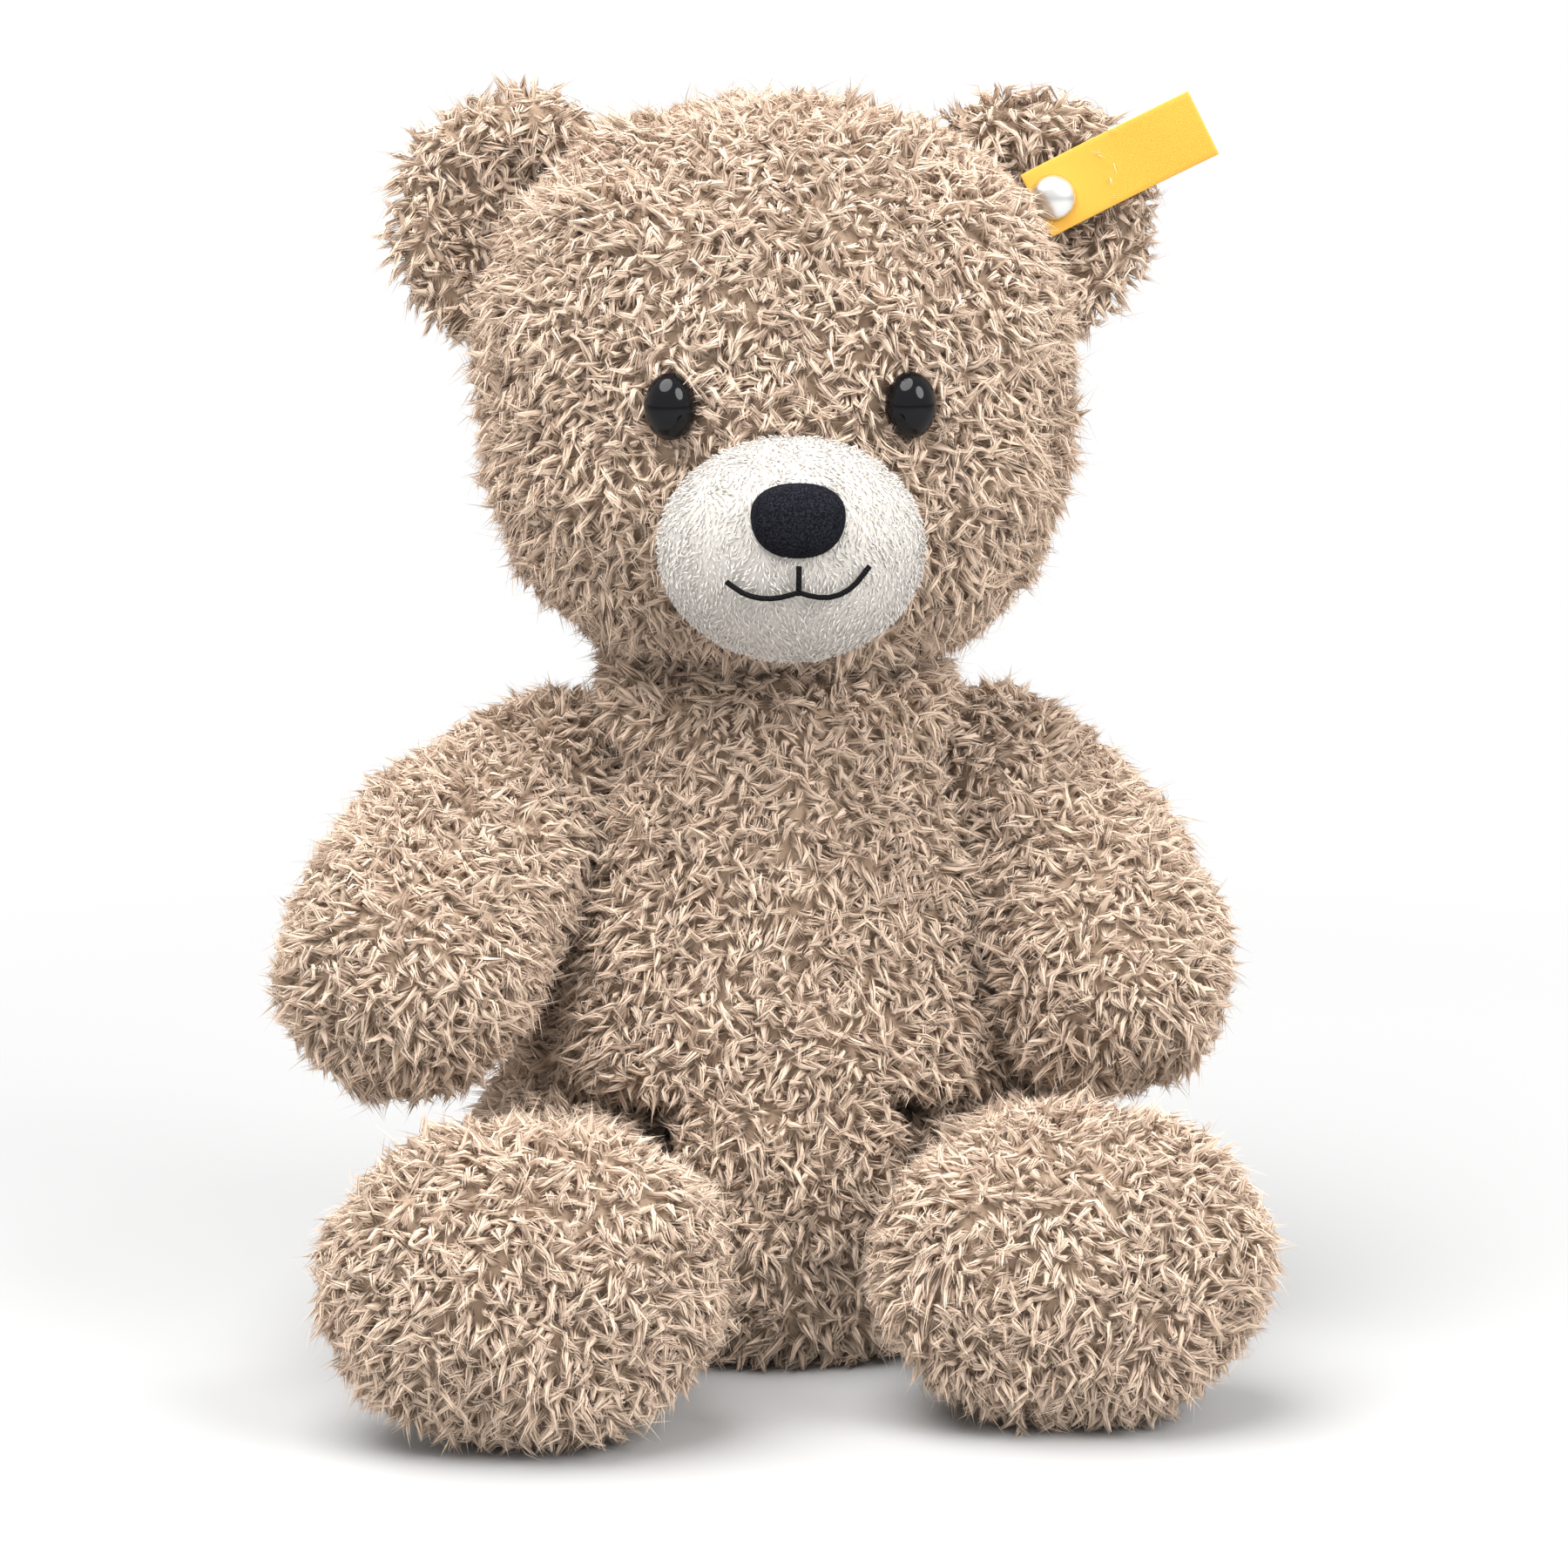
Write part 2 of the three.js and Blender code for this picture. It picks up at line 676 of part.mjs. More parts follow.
// A thread that lies on the muzzle along points given across and up from its middle.
function threadOn(points) {
  const lift = mouthThread / 2 + clearance;
  const path = new THREE.CatmullRomCurve3(
    points.map(([across, up]) => {
      return new THREE.Vector3(across, muzzleFront(across, up, lift), muzzleCentre.z + up);
    }),
  );
  const section = new THREE.Shape();
  section.absarc(0, 0, mouthThread / 2, 0, 2 * Math.PI);
  const thread = new THREE.ExtrudeGeometry(section, {
    steps: stepsPerPathPoint * (points.length - 1),
    curveSegments: cornerFacets,
    extrudePath: path,
  });
  return solidOf(thread);
}

function mouthSolid() {
  const top = noseRise - noseHeight / 2 - mouthThread;
  const low = top - mouthStemLength;
  const smile = (sign, rise) =>
    mouthDipShares.map((dip, i) => {
      const across = sign * mouthHalfWidth * (i / (mouthDipShares.length - 1));
      return [across, low + dip * mouthDip + mouthRiseShares[i] * rise];
    });
  const stem = threadOn([
    [0, top],
    [0, (top + low) / 2],
    [0, low - mouthThread / 2],
  ]);
  return stem.add(threadOn(smile(1, leftMouthRise))).add(threadOn(smile(-1, rightMouthRise)));
}

const eyeFront = headFront(eyeSpread, eyeRise);

function eyeRod(sign, diameter, front, back) {
  return rod(diameter / 2, front, back, sign * eyeSpread, headCentre.z + eyeRise, smallSides);
}

function eyeSolid(sign) {
  const centre = new THREE.Vector3(sign * eyeSpread, eyeFront, headCentre.z + eyeRise);
  const half = new THREE.Vector3(eyeWidth / 2, eyeDepth, eyeHeight / 2);
  const dome = ellipsoid(centre, half, 2, trimSides).subtract(headSurround);
  return dome.add(eyeRod(sign, eyeShankDiameter, eyeFront - eyeDepth / 2, eyeFront + eyeShankLength));
}

const eyeHole = (sign) => eyeRod(sign, eyeShankDiameter + 2 * clearance, eyeFront - eyeDepth, 0);
const washerEdge = Math.max(
  ...Array.from({ length: smallSides }, (_, i) => {
    const turn = (2 * Math.PI * i) / smallSides;
    const reach = (washerDiameter + coverThickness) / 2;
    return headFront(eyeSpread + reach * Math.cos(turn), eyeRise + reach * Math.sin(turn));
  }),
);
const eyeWasherFront = washerEdge + coverThickness + clearance + hollowSag;

function eyeWasher(sign) {
  const back = eyeWasherFront + washerThickness;
  return eyeRod(sign, washerDiameter, eyeWasherFront, back).subtract(eyeHole(sign));
}

function headCover() {
  const shell = headForm(0, coverSides).subtract(headForm(-coverThickness, hollowSides));
  return shell.intersect(above(neckHeight)).subtract(eyeHole(1)).subtract(eyeHole(-1));
}

function headFilling() {
  let solid = headForm(-coverThickness - clearance, hollowSides).intersect(above(neckHeight + clearance));
  for (const { sign } of sides) {
    const front = eyeWasherFront - overrun;
    const back = eyeFront + eyeShankLength + clearance;
    solid = solid.subtract(eyeRod(sign, eyeShankDiameter + 2 * clearance, front, back));
    const washerBack = eyeWasherFront + washerThickness + clearance;
    solid = solid.subtract(eyeRod(sign, washerDiameter + 2 * clearance, front, washerBack));
  }
  return solid;
}

// Arms

function armForm({ sign, reach }, shrink, count) {
  const points = armOutShares.map((outShare, i) => {
    const share = new THREE.Vector3(sign * outShare, armForwardShares[i], armDownShares[i]);
    return armTop(sign).add(share.multiply(reach));
  });
  return softTube(points, armRadii, count, shrink);
}

function besideShoulder(sign, margin) {
  const seat = shoulderPoint(sign).addScaledVector(shoulderNormal(sign), margin);
  return beyond(seat, shoulderNormal(sign), wide);
}

function armCover(side) {
  const outside = armForm(side, 0, limbSides).intersect(besideShoulder(side.sign, clearance));
  return outside.subtract(armForm(side, coverThickness, limbHollowSides));
}

function armFilling(side) {
  const inside = armForm(side, coverThickness + clearance, limbHollowSides);
  return inside.intersect(besideShoulder(side.sign, clearance));
}

// Legs. The foot is a cover of its own, sewn to the leg's at the ankle.

function legForm({ sign, footForward }, shrink, count) {
  const footCentre = new THREE.Vector3(sign * footSpread, -footForward, footHeight / 2 - footFlat);
  const points = legOutShares.map((outShare, i) => {
    const height = THREE.MathUtils.lerp(hipHeight, footCentre.z, outShare);
    return new THREE.Vector3(
      sign * THREE.MathUtils.lerp(hipCentreSpread, footSpread, outShare),
      -footForward * legForwardShares[i],
      height - legSag * legSagShares[i],
    );
  });
  const footHalf = new THREE.Vector3(footWidth / 2, footDepth / 2, footHeight / 2);
  const foot = ellipsoid(footCentre, footHalf.addScalar(-shrink), footSquareness, count);
  return softTube(points, legRadii, count, shrink).add(foot);
}

// Cuts a leg flat where it is sewn to the torso. The foot, further forward, stays whole.
function cutAtHip(solid, sign) {
  const seat = hipPoint(sign).addScaledVector(hipNormal(sign), clearance);
  const inward = beyond(seat, hipNormal(sign).negate(), wide);
  return solid.subtract(inward.intersect(behind(-torsoDepth / 2 - bellyForward - clearance)));
}

function limbCover(side) {
  const outside = cutAtHip(legForm(side, 0, limbSides), side.sign).intersect(above(0));
  return outside.subtract(legForm(side, coverThickness, limbHollowSides).intersect(above(coverThickness)));
}

const ankleBack = ({ footForward }) => (footDepth / 2) * ankleShare - footForward;
const legCover = (side) => limbCover(side).intersect(behind(ankleBack(side) + clearance));
const footCover = (side) => limbCover(side).subtract(behind(ankleBack(side)));

function legFilling(side) {
  const margin = coverThickness + clearance;
  const inside = legForm(side, margin, limbHollowSides).intersect(above(margin));
  return cutAtHip(inside, side.sign);
}

// Light unit: pouch, cases and seal

const bossPlaces = [-1, 1].flatMap((across) =>
  [-1, 1].map((up) => ({
    centreX: across * (unitWidth / 2 - screwInset),
    rise: up * (unitHeight / 2 - screwInset),
  })),
);
const bossDiameter = screwDiameter + 2 * clearance + 2 * bossWall;

function withBosses(solid, front, back, holeFront) {
  let made = solid;
  for (const { centreX, rise } of bossPlaces) {
    made = made.add(unitRod(bossDiameter, front, back, centreX, rise, smallSides));
  }
  const hole = screwDiameter + 2 * clearance;
  for (const { centreX, rise } of bossPlaces) {
    made = made.subtract(unitRod(hole, holeFront, back + overrun, centreX, rise, smallSides));
  }
  return made;
}

function lightPouch() {
  const margin = clearance + pouchCloth;
  const cloth = unitPanel(margin, -unitFront - margin, unitBack + clearance);
  const space = unitPanel(clearance, -unitFront - clearance, unitBack + overrun);
  const window = unitRod(buttonDiameter + 2 * pouchCloth, -unitFront - overrun, 0);
  return cloth.subtract(space).subtract(window);
}

function unitShell(front, back) {
  const hollow = panel(
    innerWidth,
    innerHeight,
    innerRadius,
    caseWall - unitFront,
    unitBack - caseWall,
    unitCentreHeight,
  );
  const outside = unitPanel(0, front, back);
  return outside.subtract(hollow);
}

function frontCase() {
  const screwEnd = frontCaseBack - screwBite;
  const shell = unitShell(-unitFront, frontCaseBack);
  const window = unitRod(buttonDiameter + 2 * clearance, -unitFront - overrun, 0);
  return withBosses(shell, screwEnd, frontCaseBack, screwEnd + caseWall).subtract(window);
}

function caseSeal() {
  const front = splitBack - sealThickness / 2;
  const back = splitBack + sealThickness / 2;
  const inset = (caseWall - sealWidth) / 2;
  const inside = unitPanel(-inset - sealWidth, front - overrun, back + overrun);
  return unitPanel(-inset, front, back).subtract(inside);
}

const doorLeft = ((cellCount - 1) * cellPitch + cellDiameter) / 2 + clearance;
const doorRight = innerWidth / 2;
const doorWidth = doorLeft + doorRight;
const doorCentre = (doorRight - doorLeft) / 2;
const doorScrewPlace = innerWidth / 2 - bossDiameter / 2 - clearance;

function rearCase() {
  const floor = unitPanel(-caseWall, rearCaseFront, rearCaseFront + bayFloor);
  const shell = unitShell(rearCaseFront, unitBack).add(floor);
  const cased = withBosses(shell, rearCaseFront, unitBack, rearCaseFront - overrun);
  const doorBoss = unitRod(
    bossDiameter,
    rearCaseFront,
    unitBack - doorThickness - 2 * clearance,
    doorScrewPlace,
    0,
    smallSides,
  );
  const margin = 2 * clearance;
  const doorway = block(
    doorWidth + margin,
    doorHeight + margin,
    unitBack - caseWall - clearance,
    unitBack + overrun,
    doorCentre,
    unitCentreHeight,
  );
  const screwHole = unitRod(
    screwDiameter + margin,
    rearCaseFront + bayFloor,
    unitBack + overrun,
    doorScrewPlace,
    0,
    smallSides,
  );
  let made = cased.subtract(doorway).add(doorBoss).subtract(screwHole);
  for (const { centreX, rise } of bossPlaces) {
    const head = unitRod(
      screwHeadDiameter + margin,
      unitBack - screwHeadHeight - clearance,
      unitBack + overrun,
      centreX,
      rise,
      smallSides,
    );
    made = made.subtract(head);
  }
  return made;
}

function batteryDoor() {
  const front = unitBack - doorThickness;
  const plate = block(doorWidth, doorHeight, front, unitBack, doorCentre, unitCentreHeight);
  const bore = screwDiameter + 2 * clearance;
  const hole = unitRod(bore, front - overrun, unitBack + overrun, doorScrewPlace);
  const headRoom = unitRod(
    screwHeadDiameter + 2 * clearance,
    unitBack - screwHeadHeight - clearance,
    unitBack + overrun,
    doorScrewPlace,
  );
  return plate.subtract(hole).subtract(headRoom);
}

// A pan-head screw whose head's inner face lies at a given place along Y.
function screw(centreX, rise, headFront, length) {
  const back = headFront + screwHeadHeight;
  const head = unitRod(screwHeadDiameter, headFront, back, centreX, rise, smallSides);
  return head.add(unitRod(screwDiameter, headFront - length, back - clearance, centreX, rise, smallSides));
}

const caseScrewHead = unitBack - screwHeadHeight;
const caseScrewLength = caseScrewHead - (frontCaseBack - screwBite + caseWall + clearance);
const doorScrewHead = unitBack - screwHeadHeight;
const doorScrewLength = doorScrewHead - (rearCaseFront + bayFloor + clearance);

// Light unit: button, board, lamps and switch

const plungerFront = switchFront - plungerReach;

function pushButton() {
  const radius = buttonDiameter / 2;
  const inside = radius - buttonWall;
  const flange = radius + buttonFlange;
  const postRadius = buttonPostDiameter / 2;
  const arcTurns = Array.from({ length: domeSteps + 1 }, (_, i) => (Math.PI / 2) * (i / domeSteps));
  const dome = (reach, height, edge) =>
    arcTurns.map((turn) => [reach * Math.sin(turn), edge - height * Math.cos(turn)]);
  const innerDome = dome(inside, buttonDome, buttonEdge + buttonWall)
    .reverse()
    .filter(([reach]) => reach > postRadius);
  const profile = [
    ...dome(radius, buttonDome, buttonEdge),
    [radius, flangeFront],
    [flange, flangeFront],
    [flange, flangeBack],
    [inside, flangeBack],
    ...innerDome,
    [postRadius, buttonEdge + buttonWall - buttonDome],
    [postRadius, plungerFront - clearance],
    [0, plungerFront - clearance],
  ];
  return turned(profile, 0, unitCentreHeight, coverSides);
}

function circuitBoard() {
  const margin = -caseWall - boardMargin;
  const notch = bossDiameter + 2 * clearance;
  let made = unitPanel(margin, boardFront, boardBack);
  for (const { centreX, rise } of bossPlaces) {
    const room = unitRod(notch, boardFront - overrun, boardBack + overrun, centreX, rise, smallSides);
    made = made.subtract(room);
  }
  return made;
}

function led(index) {
  const turn = Math.PI / 2 + (2 * Math.PI * index) / ledCount;
  const centreX = (ledRingDiameter / 2) * Math.cos(turn);
  const rise = (ledRingDiameter / 2) * Math.sin(turn);
  const back = boardFront - clearance;
  const radius = ledDiameter / 2;
  const shoulder = back - ledHeight + radius;
  const profile = [];
  for (let i = 0; i <= domeSteps; i++) {
    const lean = (Math.PI / 2) * (i / domeSteps);
    profile.push([radius * Math.sin(lean), shoulder - radius * Math.cos(lean)]);
  }
  profile.push([radius, back], [0, back]);
  return turned(profile, centreX, unitCentreHeight + rise, smallSides);
}

function switchBody() {
  const body = block(switchSize, switchSize, switchFront, boardFront - clearance, 0, unitCentreHeight);
  const bore = plungerSize + 2 * clearance;
  const boreBack = switchFront + plungerReach + buttonTravel + clearance;
  return body.subtract(block(bore, bore, switchFront - overrun, boreBack, 0, unitCentreHeight));
}

function switchPlunger() {
  return block(plungerSize, plungerSize, plungerFront, switchFront + plungerReach, 0, unitCentreHeight);
}

// Light unit: cells and contacts. Cells lie upright side by side, each turned over from the next.

const bayBottom = unitCentreHeight - innerHeight / 2;
const bayTop = unitCentreHeight + innerHeight / 2;
const cellMiddle = rearCaseFront + bayFloor + clearance + cellDiameter / 2;
const plateInset = clearance + contactThickness;
const springLength = innerHeight - cellLength - cellTipHeight - plateInset - 3 * clearance;

function cellSolid(index) {
  const radius = cellDiameter / 2;
  const tip = cellTipDiameter / 2;
  const points = [
    [0, 0],
    [radius, 0],
    [radius, cellLength],
    [tip, cellLength],
    [tip, cellLength + cellTipHeight],
    [0, cellLength + cellTipHeight],
  ].map(([reach, height]) => new THREE.Vector2(reach, height));
  const geometry = new THREE.LatheGeometry(points, trimSides);
  geometry.rotateX(Math.PI / 2);
  return inBay(geometry, index, clearance + springLength + clearance);
}

// Stands a piece in a cell's place, a distance up from the end that holds its spring.
function inBay(geometry, index, distance) {
  const across = (index - (cellCount - 1) / 2) * cellPitch;
  const turnedOver = index % 2 === 1;
  geometry.translate(0, 0, distance);
  if (turnedOver) geometry.rotateX(Math.PI);
  geometry.translate(across, cellMiddle, turnedOver ? bayTop : bayBottom);
  return solidOf(geometry);
}

function contactSpring(index) {
  const radius = (springDiameter - springWire) / 2;
  const rise = springLength - springWire;
  const steps = springStepsPerTurn * springTurns;
  const points = Array.from({ length: steps + 1 }, (_, i) => {
    const turn = (2 * Math.PI * springTurns * i) / steps;
    return new THREE.Vector3(
      radius * Math.cos(turn),
      radius * Math.sin(turn),
      springWire / 2 + (rise * i) / steps,
    );
  });
  const section = new THREE.Shape();
  section.absarc(0, 0, springWire / 2, 0, 2 * Math.PI);
  const geometry = new THREE.ExtrudeGeometry(section, {
    steps,
    curveSegments: wireFacets,
    extrudePath: new THREE.CatmullRomCurve3(points),
  });
  return inBay(geometry, index, clearance);
}

function contactPlate(index) {
  const plate = new THREE.BoxGeometry(contactWidth, contactWidth, contactThickness);
  return inBay(plate, index, innerHeight - clearance - contactThickness / 2);
}

// Assembly

const pile = { color: "#c9ad8c", roughness: 0.95, metalness: 0 };
const shortPile = { color: "#efe3d0", roughness: 0.95, metalness: 0 };
const stuffing = { color: "#f4f2ee", roughness: 1, metalness: 0 };
const nose = { color: "#1b1817", roughness: 0.9, metalness: 0 };
const thread = { color: "#1d1a19", roughness: 0.8, metalness: 0 };
const glossyBlack = { color: "#0b0a0a", roughness: 0.08, metalness: 0 };
const tape = { color: "#e0ac3c", roughness: 0.8, metalness: 0 };
const silver = { color: "#d8d8d4", roughness: 0.25, metalness: 1 };
const steel = { color: "#9a9c9e", roughness: 0.35, metalness: 1 };
const whitePlastic = { color: "#f0efe9", roughness: 0.5, metalness: 0 };
const diffuser = { color: "#fff4dc", roughness: 0.6, metalness: 0 };
const board = { color: "#2f6b3a", roughness: 0.5, metalness: 0 };
const lamp = { color: "#ffe9a8", roughness: 0.15, metalness: 0 };
const sealRubber = { color: "#55565a", roughness: 0.9, metalness: 0 };
const cellWrap = { color: "#4a5a72", roughness: 0.35, metalness: 0 };

const bear = new THREE.Group();

function addNode(name, solid, finish) {
  const mesh = new THREE.Mesh(geometryOf(solid), new THREE.MeshStandardMaterial(finish));
  mesh.name = name;
  bear.add(mesh);
}

addNode("torso_cover", torsoShell.subtract(flapWindow(0, unitBack)), pile);
addNode("torso_filling", torsoFilling(), stuffing);
addNode("flap_panel", torsoShell.intersect(flapWindow(clearance, unitBack)), pile);
addNode("flap_pad", flapPad(), stuffing);
addNode("flap_hook_tape", flapTape(flapBottomHeight + tapeThickness + 2 * clearance), tape);
addNode("flap_loop_tape", flapTape(flapBottomHeight + clearance), tape);

addNode("head_cover", headCover(), pile);
addNode("head_filling", headFilling(), stuffing);
const muzzle = ellipsoid(muzzleCentre, muzzleHalf, 2, coverSides).subtract(headSurround);
addNode("muzzle", muzzle, shortPile);
addNode("nose", noseSolid(), nose);
addNode("mouth_stitching", mouthSolid(), thread);

const shankRoom = rivetShankDiameter + 2 * clearance;
const earHole = rivetRod(shankRoom, earRim - overrun, earBehind + overrun);
addNode("ear_tag", tagSolid().subtract(earHole).subtract(headSurround), tape);
addNode("tag_rivet", rivetSolid(), silver);
const rivetWasher = rivetRod(rivetWasherDiameter, earBehind, earBehind + washerThickness);
addNode("tag_rivet_washer", rivetWasher.subtract(earHole), steel);

for (const side of sides) {
  const { name, sign } = side;
  const ear = earForm(sign).subtract(headSurround);
  addNode(name + "_ear", sign > 0 ? ear.subtract(earHole) : ear, pile);
  addNode(name + "_eye", eyeSolid(sign), glossyBlack);
  addNode(name + "_eye_washer", eyeWasher(sign), whitePlastic);
  addNode(name + "_arm_cover", armCover(side), pile);
  addNode(name + "_arm_filling", armFilling(side), stuffing);
  addNode(name + "_leg_cover", legCover(side), pile);
  addNode(name + "_foot_cover", footCover(side), pile);
  addNode(name + "_leg_filling", legFilling(side), stuffing);
}

addNode("light_pouch", lightPouch(), stuffing);
addNode("front_case", frontCase(), whitePlastic);
addNode("case_seal", caseSeal(), sealRubber);
addNode("rear_case", rearCase(), whitePlastic);
addNode("battery_door", batteryDoor(), whitePlastic);
addNode("door_screw", screw(doorScrewPlace, 0, doorScrewHead, doorScrewLength), steel);
bossPlaces.forEach(({ centreX, rise }, i) => {
  addNode("case_screw_" + (i + 1), screw(centreX, rise, caseScrewHead, caseScrewLength), steel);
});
addNode("push_button", pushButton(), diffuser);
addNode("circuit_board", circuitBoard(), board);
addNode("switch_body", switchBody(), cellWrap);
addNode("switch_plunger", switchPlunger(), glossyBlack);
for (let i = 0; i < ledCount; i++) addNode("led_" + (i + 1), led(i), lamp);
for (let i = 0; i < cellCount; i++) {
  addNode("battery_" + (i + 1), cellSolid(i), cellWrap);
  addNode("contact_spring_" + (i + 1), contactSpring(i), steel);
  addNode("contact_plate_" + (i + 1), contactPlate(i), steel);
}

export default bear;
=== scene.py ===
import json
import math

import bpy
import numpy as np
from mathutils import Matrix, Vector
from mathutils.bvhtree import BVHTree
from mathutils.kdtree import KDTree

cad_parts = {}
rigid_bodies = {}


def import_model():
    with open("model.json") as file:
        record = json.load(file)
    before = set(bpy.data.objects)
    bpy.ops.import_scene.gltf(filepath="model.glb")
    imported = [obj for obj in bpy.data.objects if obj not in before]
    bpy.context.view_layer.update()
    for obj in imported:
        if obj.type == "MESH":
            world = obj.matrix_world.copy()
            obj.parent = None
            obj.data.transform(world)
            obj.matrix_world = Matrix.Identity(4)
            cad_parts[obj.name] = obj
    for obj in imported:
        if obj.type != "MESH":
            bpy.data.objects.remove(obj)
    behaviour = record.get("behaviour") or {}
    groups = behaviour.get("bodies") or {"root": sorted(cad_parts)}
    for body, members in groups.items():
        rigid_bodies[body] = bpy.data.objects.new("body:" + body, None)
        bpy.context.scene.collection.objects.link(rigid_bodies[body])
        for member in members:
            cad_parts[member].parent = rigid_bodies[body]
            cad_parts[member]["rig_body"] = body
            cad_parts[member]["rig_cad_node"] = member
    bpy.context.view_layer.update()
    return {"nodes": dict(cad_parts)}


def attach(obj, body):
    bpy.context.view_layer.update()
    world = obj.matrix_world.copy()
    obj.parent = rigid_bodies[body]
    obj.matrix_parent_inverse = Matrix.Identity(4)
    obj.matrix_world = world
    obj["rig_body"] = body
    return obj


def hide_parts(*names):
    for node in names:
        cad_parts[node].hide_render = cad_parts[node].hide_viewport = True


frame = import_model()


# The camera stands a metre in front of the bear, a little to its right hand and a little above,
# and looks at the middle of it through a long lens, as the photograph does.
millimetre = 0.001
aim = Vector((2, 0, 110.7)) * millimetre
camera_distance = 1.0
camera_turn = math.radians(-3.5)
camera_rise = math.radians(9.5)
bpy.ops.object.camera_add()
camera = bpy.context.object
camera.name = "photo_camera"
camera.data.lens = 112
camera.data.sensor_width = 36
camera.location = aim + camera_distance * Vector((
    math.sin(camera_turn) * math.cos(camera_rise),
    -math.cos(camera_turn) * math.cos(camera_rise),
    math.sin(camera_rise)))
camera.rotation_euler = (aim - camera.location).to_track_quat("-Z", "Y").to_euler()
bpy.context.scene.camera = camera


# The sweep of white paper under the bear, lit by a broad lamp high on the left of the picture, a
# weaker one on the right and a white sky. The camera sees the paper brighter than it is near the
# bear, with part of the soft shadow left, and pure white further off.
def new_finish(name):
    """A material, its nodes, its links and its surface shader."""
    material = bpy.data.materials.new(name)
    material.use_nodes = True
    nodes = material.node_tree.nodes
    return material, nodes, material.node_tree.links, nodes["Principled BSDF"]


bpy.context.scene.view_settings.view_transform = "Standard"
paper_tone = 0.42
shadow_end, white_from = 0.16, 0.5
paper, nodes, links, sheet = new_finish("white_paper")
sheet.inputs["Base Color"].default_value = (paper_tone, paper_tone, paper_tone, 1)
sheet.inputs["Roughness"].default_value = 0.9
glow = nodes.new("ShaderNodeEmission")
glow.inputs["Color"].default_value = (1, 1, 1, 1)
where = nodes.new("ShaderNodeTexCoord")
away = nodes.new("ShaderNodeVectorMath")
away.operation = "LENGTH"
fade = nodes.new("ShaderNodeMapRange")
fade.inputs["From Min"].default_value = shadow_end
fade.inputs["From Max"].default_value = white_from
seen = nodes.new("ShaderNodeLightPath")
share = nodes.new("ShaderNodeMath")
share.operation = "MULTIPLY"
mixed = nodes.new("ShaderNodeMixShader")
links.new(where.outputs["Object"], away.inputs[0])
links.new(away.outputs["Value"], fade.inputs["Value"])
links.new(seen.outputs["Is Camera Ray"], share.inputs[0])
links.new(fade.outputs[0], share.inputs[1])
links.new(share.outputs[0], mixed.inputs[0])
links.new(sheet.outputs[0], mixed.inputs[1])
links.new(glow.outputs[0], mixed.inputs[2])
links.new(mixed.outputs[0], nodes["Material Output"].inputs["Surface"])
floor_side = 30
bpy.ops.mesh.primitive_plane_add(size=floor_side)
floor = bpy.context.object
floor.name = "floor"
floor.data.materials.append(paper)

sky_strength = 0.9
world = bpy.data.worlds.new("white_sky")
bpy.context.scene.world = world
world.use_nodes = True
nodes, links = world.node_tree.nodes, world.node_tree.links
sky = nodes["Background"]
sky.inputs["Color"].default_value = (1, 1, 1, 1)
sky.inputs["Strength"].default_value = sky_strength
backdrop = nodes.new("ShaderNodeBackground")
backdrop.inputs["Color"].default_value = (1, 1, 1, 1)
backdrop.inputs["Strength"].default_value = 1
seen = nodes.new("ShaderNodeLightPath")
either = nodes.new("ShaderNodeMath")
either.operation = "MAXIMUM"
mixed = nodes.new("ShaderNodeMixShader")
links.new(seen.outputs["Is Camera Ray"], either.inputs[0])
links.new(seen.outputs["Is Transmission Ray"], either.inputs[1])
links.new(either.outputs[0], mixed.inputs[0])
links.new(sky.outputs[0], mixed.inputs[1])
links.new(backdrop.outputs[0], mixed.inputs[2])
links.new(mixed.outputs[0], nodes["World Output"].inputs["Surface"])


def hang_lamp(name, place, size, power):
    bpy.ops.object.light_add(type="AREA", location=place)
    lamp = bpy.context.object
    lamp.name = name
    lamp.data.shape = "DISK"
    lamp.data.size = size
    lamp.data.energy = power
    lamp.rotation_euler = (aim - lamp.location).to_track_quat("-Z", "Y").to_euler()


hang_lamp("left_softbox", place=Vector((-0.42, -0.42, 1.4)), size=1.3, power=37)
hang_lamp("right_softbox", place=Vector((0.9, -0.9, 1.0)), size=0.9, power=21)


